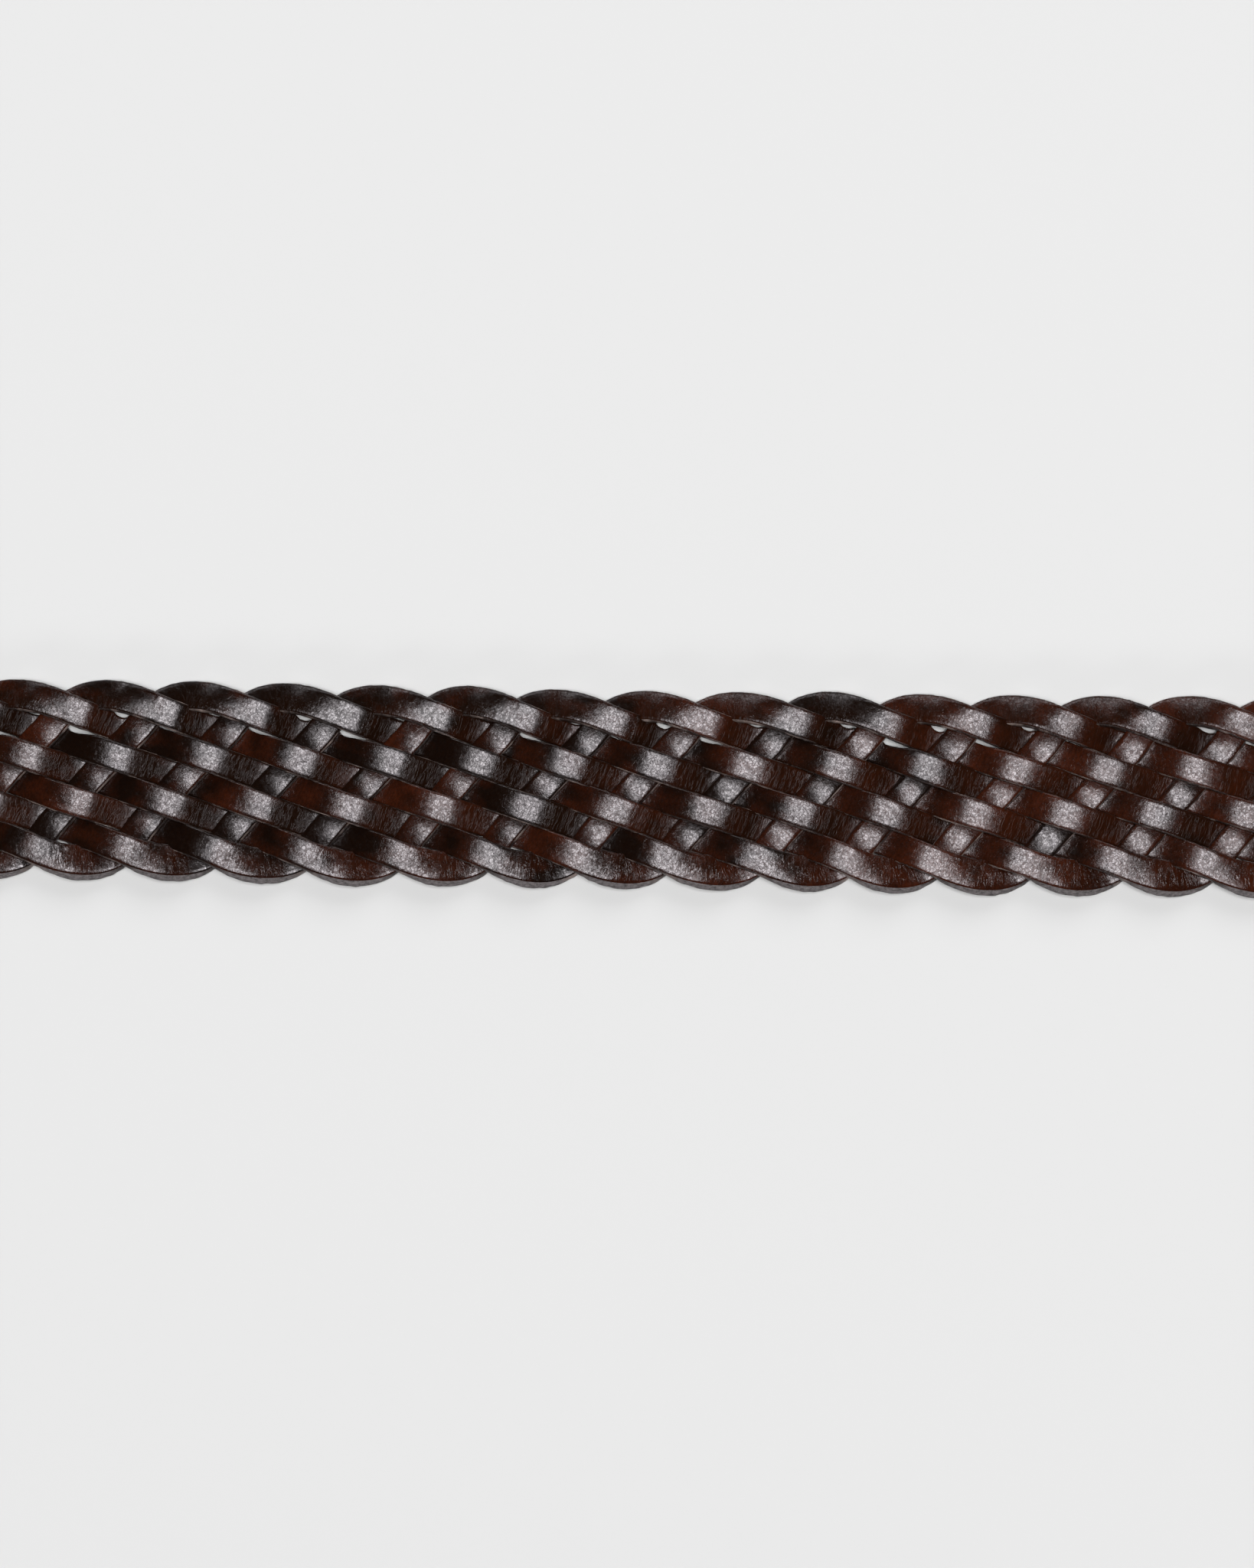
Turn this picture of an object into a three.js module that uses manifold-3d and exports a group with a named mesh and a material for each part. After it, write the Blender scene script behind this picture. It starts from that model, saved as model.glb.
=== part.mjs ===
// A gentleman's belt, plaited from eight flat leather strands, laid straight along X on a surface at z = 0.
// The buckle is at -X and the tip at +X. The front of the belt faces +Z. All sizes are in millimetres.
// Strands, leaves and threads are lofted strips, and what is folded, cut or bored is extruded and then cut.

import * as THREE from 'three';
import { mergeVertices } from 'three/addons/utils/BufferGeometryUtils.js';
import Module from 'manifold-3d';

const wasm = await Module();
wasm.setup();

// ---- Driving dimensions ----

const STRAP_WIDTH = 32;
const STRAP_LENGTH = 1000; // from the buckle bar to the end of the tip
const GAP = 0.2; // between pieces that are sewn, glued or resting on one another

const PITCH = 14.86; // from one crossing to the next along a row, and from one edge scallop to the next
const ROWS = 7; // rows of crossings across the strap
const STRANDS = ROWS + 1;
const ROW_SPACING = 3.74;
const EDGE_ROW_SHIFT = 0.28; // the two outer rows lie this much further out
const DOWN_STEP = 11.56; // along the strap, from row to row, on a leg that runs towards -Y
const UP_STEP = PITCH - DOWN_STEP; // the same on a leg that runs towards +Y
const EDGE_DOWN_SLOPE = 0.4; // the legs bend towards the turn as they cross the outer rows
const EDGE_UP_SLOPE = 0.77;
const STRAND_WIDTH = 4.3;
const STRAND_THICKNESS = 1.1;
const RISE = STRAND_THICKNESS + 0.1; // how far a down leg passes above or below an up leg
const LIE = 3.2; // half of the stretch that a down leg stays over or under an up leg
const EDGE_LIE = 4.2; // the same on the inner side of an outer row
const TURN_DIP = 0.85; // how far a strand sinks where it comes out to turn at the edge
const BRAID_HALF = RISE + STRAND_THICKNESS / 2;
const RAMP = 100; // the length over which the plait comes down from a thick end to the surface

const BAR_RADIUS = 1.3;
const CHAPE_LEATHER = 1.4;
const CHAPE_INNER = 2.1; // from the middle of the fold to the inside of the leather
const CHAPE_OUTER = CHAPE_INNER + CHAPE_LEATHER;
const CHAPE_LENGTH = 74; // from the bar to the end of the leaves
const CHAPE_CORNER = 5;
const SLOT_WIDTH = 5;
const SLOT_REACH = 13; // from the bar, in both leaves
const SLOT_CORNER = 2.4;
const BRAID_TUCK = 30; // how far each end of the plait goes in between its leaves
const FILLER_INSET = 0.8;
const FILLER_SETBACK = 2; // from the end of the slot

const KEEPER_LEATHER = 1.4;
const KEEPER_WIDTH = 12; // along the strap
const KEEPER_START = 22; // from the bar
const KEEPER_SIDE_PLAY = 0.5;
const KEEPER_UNDER_PLAY = 0.9; // room for the staple under the chape
const KEEPER_PASSAGE = 5.6; // height left for the loose end above the chape
const KEEPER_CORNER = 2.4;
const STAPLE_WIRE = 0.6;
const STAPLE_SPAN = 7;
const SEAM_GAP = 0.3;

const TAB_LENGTH = 88;
const TAB_LEATHER = 1.3;
const TAB_POINT = 24; // the length over which the tip narrows
const TAB_TAPER = 24; // the length over which the front leaf comes down behind the plait
const TAB_TIP_CORE = 1; // thickness of the filler near the tip
const TAB_NARROWEST = 0.6;

const THREAD_WIDTH = 0.8;
const THREAD_HEIGHT = 0.5;
const THREAD_INSET = 2.6;
const THREAD_PLAY = 0.1; // round a thread, over a leaf or in a groove

const FRAME_LENGTH = 30; // from the bar to the front edge
const FRAME_WIDTH = 43;
const FRAME_THICKNESS = 4.6;
const FRAME_BEVEL = 1;
const FRAME_INNER_WIDTH = 34;
const FRAME_FRONT = 5.2; // how wide the front bar is
const FRAME_EYE = 3.2; // how far the bored ends reach past the bar
const FRAME_CORNER = 7;
const FRAME_INNER_CORNER = 3;
const BORE_PLAY = 0.12;
const BAR_SETBACK = 0.5; // of the pin's ends, from the sides of the frame
const PRONG_WIDTH = 2.8;
const PRONG_RING = 2.9;
const PRONG_PLAY = 0.15;
const PRONG_REACH = 30.6;
const PRONG_TOP = 3.4;
const PRONG_ROOT = 0.9; // how high the tongue's lower face leaves the ring
const PRONG_REST_PLAY = 0.3; // between the prong and the bottom of its notch
const NOTCH_DEPTH = 1; // the prong's rest in the front bar
const NOTCH_WIDTH = 4;

// ---- Places that follow from them: the bar is at x = 0, and the whole belt is centred at the end ----

const KEEPER_FLOOR = KEEPER_LEATHER; // inner face of the keeper's lower wall
const CHAPE_BOTTOM = KEEPER_FLOOR + KEEPER_UNDER_PLAY;
const BAR_HEIGHT = CHAPE_BOTTOM + CHAPE_OUTER;
const TAB_START = STRAP_LENGTH - TAB_LENGTH;
const BRAID_START = CHAPE_LENGTH - BRAID_TUCK;
const BRAID_END = TAB_START + BRAID_TUCK;
const BRAID_FLOOR = BRAID_HALF;
const TAB_BRAID_HEIGHT = TAB_LEATHER + GAP + BRAID_HALF;
const FRAME_TILT = Math.asin((BAR_HEIGHT - FRAME_THICKNESS / 2) / FRAME_LENGTH);

const braidLeather = leather(0x2b1a15);
const tabLeather = leather(0x2a1813);
const fillerLeather = leather(0x6b4a35);
const threadFabric = new THREE.MeshStandardMaterial({ color: 0x2e1d17, roughness: 0.8, metalness: 0 });
const buckleMetal = new THREE.MeshStandardMaterial({ color: 0xb89a62, roughness: 0.3, metalness: 1 });
const steel = new THREE.MeshStandardMaterial({ color: 0x9a9a98, roughness: 0.35, metalness: 1 });

function leather(color) {
  return new THREE.MeshStandardMaterial({ color, roughness: 0.45, metalness: 0 });
}

function mix(a, b, share) {
  return a + (b - a) * share;
}

function smooth(share) {
  return THREE.MathUtils.smoothstep(share, 0, 1);
}

function addPiece(parent, name, geometry, material) {
  const mesh = new THREE.Mesh(geometry, material);
  mesh.name = name;
  parent.add(mesh);
  return mesh;
}

// ---- Building blocks ----

// A closed body through a row of four-cornered sections.
function loft(sections) {
  const position = sections.flat().flatMap((corner) => [corner.x, corner.y, corner.z]);
  const index = [0, 2, 1, 0, 3, 2];
  for (let s = 0; s + 1 < sections.length; s++) {
    for (let c = 0; c < 4; c++) {
      const here = 4 * s + c;
      const beside = 4 * s + ((c + 1) % 4);
      index.push(here, beside, beside + 4, here, beside + 4, here + 4);
    }
  }
  const last = 4 * (sections.length - 1);
  index.push(last, last + 1, last + 2, last, last + 2, last + 3);
  const geometry = new THREE.BufferGeometry();
  geometry.setAttribute('position', new THREE.Float32BufferAttribute(position, 3));
  geometry.setIndex(index);
  return geometry;
}

// A strip of even width that follows a line in plan. Its lower and upper faces are heights over x.
function strip(line, width, bottom, top) {
  const sections = line.map((point, i) => {
    const before = line[Math.max(i - 1, 0)];
    const after = line[Math.min(i + 1, line.length - 1)];
    const into = point.clone().sub(before).normalize();
    const out = after.clone().sub(point).normalize();
    const along = into.clone().add(out).normalize();
    const widening = 1 / along.dot(i > 0 ? into : out);
    const across = new THREE.Vector2(-along.y, along.x).multiplyScalar((widening * width) / 2);
    const left = point.clone().add(across);
    const right = point.clone().sub(across);
    return [
      new THREE.Vector3(left.x, left.y, bottom(point.x)),
      new THREE.Vector3(left.x, left.y, top(point.x)),
      new THREE.Vector3(right.x, right.y, top(point.x)),
      new THREE.Vector3(right.x, right.y, bottom(point.x)),
    ];
  });
  return loft(sections);
}

// A leaf that is symmetric about y = 0, with a half width, a lower face and an upper face over x.
function leaf(stations, halfWidth, bottom, top) {
  const sections = stations.map((x) => [
    new THREE.Vector3(x, halfWidth(x), bottom(x)),
    new THREE.Vector3(x, halfWidth(x), top(x)),
    new THREE.Vector3(x, -halfWidth(x), top(x)),
    new THREE.Vector3(x, -halfWidth(x), bottom(x)),
  ]);
  return loft(sections);
}

// Lifts each point of a body by a height over x.
function raise(geometry, height) {
  const position = geometry.attributes.position;
  for (let i = 0; i < position.count; i++) {
    position.setZ(i, position.getZ(i) + height(position.getX(i)));
  }
  return geometry;
}

function evenly(from, to, count) {
  return Array.from({ length: count + 1 }, (unused, i) => mix(from, to, i / count));
}

function toSolid(geometry) {
  const bare = geometry.clone();
  bare.deleteAttribute('normal');
  bare.deleteAttribute('uv');
  const merged = mergeVertices(bare);
  return new wasm.Manifold(
    new wasm.Mesh({
      numProp: 3,
      vertProperties: Float32Array.from(merged.attributes.position.array),
      triVerts: Uint32Array.from(merged.index.array),
    }),
  );
}

function fromSolid(solid) {
  const mesh = solid.getMesh();
  const geometry = new THREE.BufferGeometry();
  geometry.setAttribute('position', new THREE.BufferAttribute(Float32Array.from(mesh.vertProperties), 3));
  geometry.setIndex(new THREE.BufferAttribute(Uint32Array.from(mesh.triVerts), 1));
  return geometry;
}

function cut(geometry, ...tools) {
  let solid = toSolid(geometry);
  for (const tool of tools) {
    solid = solid.subtract(toSolid(tool));
  }
  return fromSolid(solid);
}

function boxAt(x, y, z, sizeX, sizeY, sizeZ) {
  return new THREE.BoxGeometry(sizeX, sizeY, sizeZ).translate(x, y, z);
}

function roundedRectangle(outline, x0, y0, x1, y1, radius) {
  outline.moveTo(x0 + radius, y0);
  outline.lineTo(x1 - radius, y0);
  outline.absarc(x1 - radius, y0 + radius, radius, -Math.PI / 2, 0, false);
  outline.lineTo(x1, y1 - radius);
  outline.absarc(x1 - radius, y1 - radius, radius, 0, Math.PI / 2, false);
  outline.lineTo(x0 + radius, y1);
  outline.absarc(x0 + radius, y1 - radius, radius, Math.PI / 2, Math.PI, false);
  outline.lineTo(x0, y0 + radius);
  outline.absarc(x0 + radius, y0 + radius, radius, Math.PI, 1.5 * Math.PI, false);
  return outline;
}

// ---- The plait ----
// Strands run on from leg to leg: down across all rows, a turn at the -Y edge, up across all rows, a turn at
// the +Y edge. In odd rows the down leg lies over the up leg, and in even rows under it.

const PERIOD = STRANDS * PITCH;
const DOWN_END = (ROWS - 1) * DOWN_STEP;
const UP_START = DOWN_END + PITCH;
const UP_END = UP_START + (ROWS - 1) * UP_STEP;

function rowHeight(row) {
  const edgeShift = row === 1 ? EDGE_ROW_SHIFT : row === ROWS ? -EDGE_ROW_SHIFT : 0;
  return ((ROWS + 1) / 2 - row) * ROW_SPACING + edgeShift;
}

// The crossings that one strand makes in a period, in order along the strap.
function strandCrossings() {
  const crossings = [];
  for (let row = 1; row <= ROWS; row++) {
    const edge = row === 1 || row === ROWS;
    const slope = edge ? -EDGE_DOWN_SLOPE : -ROW_SPACING / DOWN_STEP;
    crossings.push({ x: (row - 1) * DOWN_STEP, y: rowHeight(row), slope });
  }
  for (let row = ROWS; row >= 1; row--) {
    const edge = row === 1 || row === ROWS;
    const slope = edge ? EDGE_UP_SLOPE : ROW_SPACING / UP_STEP;
    crossings.push({ x: UP_START + (ROWS - row) * UP_STEP, y: rowHeight(row), slope });
  }
  crossings.push({ ...crossings[0], x: PERIOD });
  return crossings;
}

const crossings = strandCrossings();

// Where a strand's middle line lies across the strap, as one smooth curve through its crossings.
function strandSide(x) {
  const next = Math.max(1, crossings.findIndex((crossing) => crossing.x >= x));
  const from = crossings[next - 1];
  const to = crossings[next];
  const span = to.x - from.x;
  const t = (x - from.x) / span;
  const ends = from.y * (1 + 2 * t) * (1 - t) ** 2 + to.y * t ** 2 * (3 - 2 * t);
  return ends + span * (from.slope * t * (1 - t) ** 2 - to.slope * t ** 2 * (1 - t));
}

// One period of a strand's heights above the middle of the plait, as [x, z] in order.
function strandKnots() {
  const knots = [];
  for (let row = 1; row <= ROWS; row++) {
    const x = (row - 1) * DOWN_STEP;
    const z = row % 2 === 1 ? RISE : -RISE;
    knots.push([x - (row === ROWS ? EDGE_LIE : LIE), z]);
    knots.push([x + (row === 1 ? EDGE_LIE : LIE), z]);
  }
  // Half a turn: how far from the up leg's outer crossing, and how high.
  const turn = [
    [0, 0],
    [0.155 * PITCH, -TURN_DIP / 2],
    [0.31 * PITCH, -TURN_DIP],
    [0.46 * PITCH, -TURN_DIP],
    [0.62 * PITCH, 0.15 * RISE],
  ];
  for (const [away, z] of turn.toReversed()) {
    knots.push([UP_START - away, z]);
  }
  knots.push([(UP_START + UP_END) / 2, 0]);
  for (const [away, z] of turn) {
    knots.push([UP_END + away, z]);
  }
  return knots;
}

// The height of the middle of the plait: on the surface, and raised where the leaves hold it.
function braidHeight(x) {
  const fromChape = mix(BAR_HEIGHT, BRAID_FLOOR, smooth((x - CHAPE_LENGTH) / RAMP));
  const toTab = mix(0, TAB_BRAID_HEIGHT - BRAID_FLOOR, smooth((x - TAB_START + RAMP) / RAMP));
  return fromChape + toTab;
}

function strandGeometry(number) {
  const knots = strandKnots();
  const offset = number * PITCH;
  const run = [];
  for (let period = -1; period * PERIOD + offset < BRAID_END; period++) {
    run.push(...knots.map(([x, z]) => [x + offset + period * PERIOD, z]));
  }
  const heightAt = (x) => {
    const next = run.findIndex((knot) => knot[0] >= x);
    const [x0, z0] = run[next - 1];
    const [x1, z1] = run[next];
    return mix(z0, z1, (x - x0) / (x1 - x0));
  };
  const inside = run.map(([x]) => x).filter((x) => x > BRAID_START + GAP && x < BRAID_END - GAP);
  const line = [BRAID_START, ...inside, BRAID_END].map((x) => {
    const inPeriod = THREE.MathUtils.euclideanModulo(x - offset, PERIOD);
    return new THREE.Vector2(x, strandSide(inPeriod));
  });
  const half = STRAND_THICKNESS / 2;
  const flat = strip(line, STRAND_WIDTH, (x) => heightAt(x) - half, (x) => heightAt(x) + half);
  return raise(flat, braidHeight);
}

function addBraid(parent) {
  for (let number = 1; number <= STRANDS; number++) {
    addPiece(parent, `strand_${number}`, strandGeometry(number), braidLeather);
  }
}

// ---- The buckle end ----

// The leather runs forward as the lower leaf, round the bar and back as the upper leaf.
function chapeGeometry() {
  const profile = new THREE.Shape();
  profile.moveTo(CHAPE_LENGTH, -CHAPE_INNER);
  profile.lineTo(0, -CHAPE_INNER);
  profile.absarc(0, 0, CHAPE_INNER, -Math.PI / 2, Math.PI / 2, true);
  profile.lineTo(CHAPE_LENGTH, CHAPE_INNER);
  profile.lineTo(CHAPE_LENGTH, CHAPE_OUTER);
  profile.lineTo(0, CHAPE_OUTER);
  profile.absarc(0, 0, CHAPE_OUTER, Math.PI / 2, -Math.PI / 2, false);
  profile.lineTo(CHAPE_LENGTH, -CHAPE_OUTER);
  const folded = new THREE.ExtrudeGeometry(profile, {
    depth: STRAP_WIDTH,
    bevelEnabled: false,
    curveSegments: 10,
  });
  folded.rotateX(Math.PI / 2).translate(0, STRAP_WIDTH / 2, 0);

  // Both plans reach well past the fold, so they round only the far corners and leave the slot open there.
  const side = STRAP_WIDTH / 2;
  const plan = roundedRectangle(new THREE.Shape(), -CHAPE_LENGTH, -side, CHAPE_LENGTH, side, CHAPE_CORNER);
  const slotSide = SLOT_WIDTH / 2;
  const slotPlan = roundedRectangle(
    new THREE.Shape(),
    -CHAPE_LENGTH,
    -slotSide,
    SLOT_REACH,
    slotSide,
    SLOT_CORNER,
  );
  const outline = toSolid(throughBothLeaves(plan));
  const slot = toSolid(throughBothLeaves(slotPlan));
  return fromSolid(toSolid(folded).intersect(outline).subtract(slot));
}

function throughBothLeaves(plan) {
  const depth = 3 * CHAPE_OUTER;
  const block = new THREE.ExtrudeGeometry(plan, { depth, bevelEnabled: false, curveSegments: 6 });
  return block.translate(0, 0, -depth / 2);
}

// A thread round the edge of the chape, as a line in plan with a small gap at the slot.
function chapeSeam() {
  const side = STRAP_WIDTH / 2 - THREAD_INSET;
  const near = SLOT_REACH + THREAD_INSET;
  const far = CHAPE_LENGTH - THREAD_INSET;
  const corner = CHAPE_CORNER - THREAD_INSET;
  const seam = new THREE.Path();
  seam.moveTo(near, THREAD_WIDTH);
  seam.lineTo(near, side - corner);
  seam.absarc(near + corner, side - corner, corner, Math.PI, Math.PI / 2, true);
  seam.lineTo(far - corner, side);
  seam.absarc(far - corner, side - corner, corner, Math.PI / 2, 0, true);
  seam.lineTo(far, corner - side);
  seam.absarc(far - corner, corner - side, corner, 0, -Math.PI / 2, true);
  seam.lineTo(near + corner, -side);
  seam.absarc(near + corner, corner - side, corner, -Math.PI / 2, -Math.PI, true);
  seam.lineTo(near, -THREAD_WIDTH);
  return seam.getPoints(3);
}

function addChape(parent) {
  const chape = addPiece(parent, 'chape', chapeGeometry(), tabLeather);
  chape.position.z = BAR_HEIGHT;

  const fillerStart = SLOT_REACH + FILLER_SETBACK;
  const fillerEnd = BRAID_START - STRAND_WIDTH / 2;
  const filler = boxAt(
    (fillerStart + fillerEnd) / 2,
    0,
    BAR_HEIGHT,
    fillerEnd - fillerStart,
    STRAP_WIDTH - 2 * FILLER_INSET,
    2 * (CHAPE_INNER - GAP),
  );
  addPiece(parent, 'chape_filler', filler, fillerLeather);

  const top = BAR_HEIGHT + CHAPE_OUTER + THREAD_PLAY;
  const under = CHAPE_BOTTOM - THREAD_PLAY;
  const front = strip(chapeSeam(), THREAD_WIDTH, () => top, () => top + THREAD_HEIGHT);
  const back = strip(chapeSeam(), THREAD_WIDTH, () => under - THREAD_HEIGHT, () => under);
  addPiece(parent, 'chape_front_thread', front, threadFabric);
  addPiece(parent, 'chape_back_thread', back, threadFabric);
}

// The keeper is a strip bent into a loop, whose ends meet under the belt and are stapled.
function addKeeper(parent) {
  const innerHalf = STRAP_WIDTH / 2 + KEEPER_SIDE_PLAY;
  const outerHalf = innerHalf + KEEPER_LEATHER;
  const innerTop = BAR_HEIGHT + CHAPE_OUTER + KEEPER_PASSAGE;
  const outerTop = innerTop + KEEPER_LEATHER;
  const innerCorner = KEEPER_CORNER - KEEPER_LEATHER;
  const ring = roundedRectangle(new THREE.Shape(), -outerHalf, 0, outerHalf, outerTop, KEEPER_CORNER);
  const inside = roundedRectangle(
    new THREE.Path(),
    -innerHalf,
    KEEPER_FLOOR,
    innerHalf,
    innerTop,
    innerCorner,
  );
  ring.holes.push(inside);
  const loop = new THREE.ExtrudeGeometry(ring, {
    depth: KEEPER_WIDTH,
    bevelEnabled: false,
    curveSegments: 5,
  });
  loop.rotateX(Math.PI / 2).rotateZ(Math.PI / 2).translate(KEEPER_START, 0, 0);

  const middle = KEEPER_START + KEEPER_WIDTH / 2;
  const legSide = (STAPLE_SPAN - STAPLE_WIRE) / 2;
  const holeSize = STAPLE_WIRE + 2 * GAP;
  const seam = boxAt(middle, 0, KEEPER_FLOOR / 2, 2 * KEEPER_WIDTH, SEAM_GAP, 2 * KEEPER_FLOOR);
  const holes = [-legSide, legSide].map((y) =>
    boxAt(middle, y, KEEPER_FLOOR / 2, holeSize, holeSize, 2 * KEEPER_FLOOR),
  );
  addPiece(parent, 'keeper_loop', cut(loop, seam, ...holes), tabLeather);

  // The staple's crown lies on the inner face, and its two legs go through the leather.
  const crownBottom = KEEPER_FLOOR + GAP / 2;
  const crownTop = crownBottom + STAPLE_WIRE;
  const staple = new THREE.Shape();
  staple.moveTo(-STAPLE_SPAN / 2, GAP);
  staple.lineTo(-STAPLE_SPAN / 2 + STAPLE_WIRE, GAP);
  staple.lineTo(-STAPLE_SPAN / 2 + STAPLE_WIRE, crownBottom);
  staple.lineTo(STAPLE_SPAN / 2 - STAPLE_WIRE, crownBottom);
  staple.lineTo(STAPLE_SPAN / 2 - STAPLE_WIRE, GAP);
  staple.lineTo(STAPLE_SPAN / 2, GAP);
  staple.lineTo(STAPLE_SPAN / 2, crownTop);
  staple.lineTo(-STAPLE_SPAN / 2, crownTop);
  const wire = new THREE.ExtrudeGeometry(staple, { depth: STAPLE_WIRE, bevelEnabled: false });
  wire.rotateX(Math.PI / 2).rotateZ(Math.PI / 2).translate(middle - STAPLE_WIRE / 2, 0, 0);
  addPiece(parent, 'keeper_staple', wire, steel);
}

// ---- The buckle, with its bar on the Y axis, before it is tilted to rest on the surface ----

function frameGeometry() {
  const outer = FRAME_WIDTH / 2 - FRAME_BEVEL;
  const inner = FRAME_INNER_WIDTH / 2 + FRAME_BEVEL;
  const front = -FRAME_LENGTH + FRAME_BEVEL;
  const frontInside = -FRAME_LENGTH + FRAME_FRONT - FRAME_BEVEL;
  const end = FRAME_EYE - FRAME_BEVEL;
  const eye = (outer - inner) / 2;
  const plan = new THREE.Shape();
  plan.moveTo(end - eye, -outer);
  plan.absarc(end - eye, -outer + eye, eye, -Math.PI / 2, Math.PI / 2, false);
  plan.lineTo(frontInside + FRAME_INNER_CORNER, -inner);
  plan.absarc(
    frontInside + FRAME_INNER_CORNER,
    -inner + FRAME_INNER_CORNER,
    FRAME_INNER_CORNER,
    -Math.PI / 2,
    -Math.PI,
    true,
  );
  plan.lineTo(frontInside, inner - FRAME_INNER_CORNER);
  plan.absarc(
    frontInside + FRAME_INNER_CORNER,
    inner - FRAME_INNER_CORNER,
    FRAME_INNER_CORNER,
    Math.PI,
    Math.PI / 2,
    true,
  );
  plan.lineTo(end - eye, inner);
  plan.absarc(end - eye, outer - eye, eye, -Math.PI / 2, Math.PI / 2, false);
  plan.lineTo(front + FRAME_CORNER, outer);
  plan.absarc(front + FRAME_CORNER, outer - FRAME_CORNER, FRAME_CORNER, Math.PI / 2, Math.PI, false);
  plan.lineTo(front, -outer + FRAME_CORNER);
  plan.absarc(front + FRAME_CORNER, -outer + FRAME_CORNER, FRAME_CORNER, Math.PI, 1.5 * Math.PI, false);
  const body = new THREE.ExtrudeGeometry(plan, {
    depth: FRAME_THICKNESS - 2 * FRAME_BEVEL,
    bevelThickness: FRAME_BEVEL,
    bevelSize: FRAME_BEVEL,
    bevelSegments: 2,
    curveSegments: 6,
  });
  body.translate(0, 0, FRAME_BEVEL - FRAME_THICKNESS / 2);
  const boreRadius = BAR_RADIUS + BORE_PLAY;
  const bore = new THREE.CylinderGeometry(boreRadius, boreRadius, 2 * FRAME_WIDTH, 20);
  const notch = boxAt(
    -FRAME_LENGTH,
    0,
    FRAME_THICKNESS / 2,
    3 * FRAME_FRONT,
    NOTCH_WIDTH,
    2 * NOTCH_DEPTH,
  );
  return cut(body, bore, notch);
}

// The prong is a tapering tongue that leaves the top of its ring and lies in the notch of the frame.
function prongGeometry() {
  const restHeight = FRAME_THICKNESS / 2 - NOTCH_DEPTH + PRONG_REST_PLAY;
  const rootAngle = Math.PI - Math.asin(PRONG_ROOT / PRONG_RING);
  const side = new THREE.Shape();
  side.moveTo(0, PRONG_RING);
  side.lineTo(-FRAME_LENGTH + FRAME_FRONT, PRONG_TOP);
  side.quadraticCurveTo(-PRONG_REACH, PRONG_TOP, -PRONG_REACH, restHeight);
  side.lineTo(-FRAME_LENGTH + FRAME_FRONT, restHeight);
  side.lineTo(PRONG_RING * Math.cos(rootAngle), PRONG_ROOT);
  side.absarc(0, 0, PRONG_RING, rootAngle, 2.5 * Math.PI, false);
  const eye = new THREE.Path();
  eye.absarc(0, 0, BAR_RADIUS + PRONG_PLAY, 0, 2 * Math.PI, true);
  side.holes.push(eye);
  const prong = new THREE.ExtrudeGeometry(side, {
    depth: PRONG_WIDTH,
    bevelEnabled: false,
    curveSegments: 10,
  });
  return prong.rotateX(Math.PI / 2).translate(0, PRONG_WIDTH / 2, 0);
}

function addBuckle(parent) {
  const buckle = new THREE.Group();
  buckle.position.z = BAR_HEIGHT;
  buckle.rotation.y = -FRAME_TILT;
  parent.add(buckle);
  addPiece(buckle, 'buckle_frame', frameGeometry(), buckleMetal);
  const barLength = FRAME_WIDTH - 2 * BAR_SETBACK;
  const bar = new THREE.CylinderGeometry(BAR_RADIUS, BAR_RADIUS, barLength, 20);
  addPiece(buckle, 'buckle_bar', bar, steel);
  addPiece(buckle, 'prong', prongGeometry(), buckleMetal);
}

// ---- The tip ----

// Half the width of a leaf or seam that lies inside the tip's outline by an inset.
function tabHalfWidth(x, inset) {
  const full = STRAP_WIDTH / 2 - inset;
  const share = Math.max(0, (x - (STRAP_LENGTH - TAB_POINT)) / (TAB_POINT - inset));
  return Math.max(TAB_NARROWEST, full * Math.sqrt(Math.max(0, 1 - share ** 2)));
}

// Lower face of the front leaf: over the plait, then down to the thin core near the tip.
function tabInside(x) {
  const overBraid = TAB_LEATHER + 2 * GAP + 2 * BRAID_HALF;
  const overCore = TAB_LEATHER + 2 * GAP + TAB_TIP_CORE;
  return mix(overBraid, overCore, smooth((x - BRAID_END - STRAND_WIDTH / 2) / TAB_TAPER));
}

// Stations along the tip, closer together where its outline curves.
function tabStations(from, inset) {
  const pointStart = STRAP_LENGTH - TAB_POINT;
  const point = evenly(0, Math.PI / 2, 10).map((turn) => pointStart + (TAB_POINT - inset) * Math.sin(turn));
  return [from, ...evenly(BRAID_END, pointStart, 6).slice(0, -1), ...point];
}

// The seam's line in plan: from a start near the plait, round the point and back.
function tabSeam(start) {
  const inset = THREAD_INSET;
  const stations = tabStations(start, inset).slice(0, -1);
  const near = stations.map((x) => new THREE.Vector2(x, tabHalfWidth(x, inset)));
  const far = near.toReversed().map((point) => new THREE.Vector2(point.x, -point.y));
  return [...near, new THREE.Vector2(STRAP_LENGTH - inset, 0), ...far];
}

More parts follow.
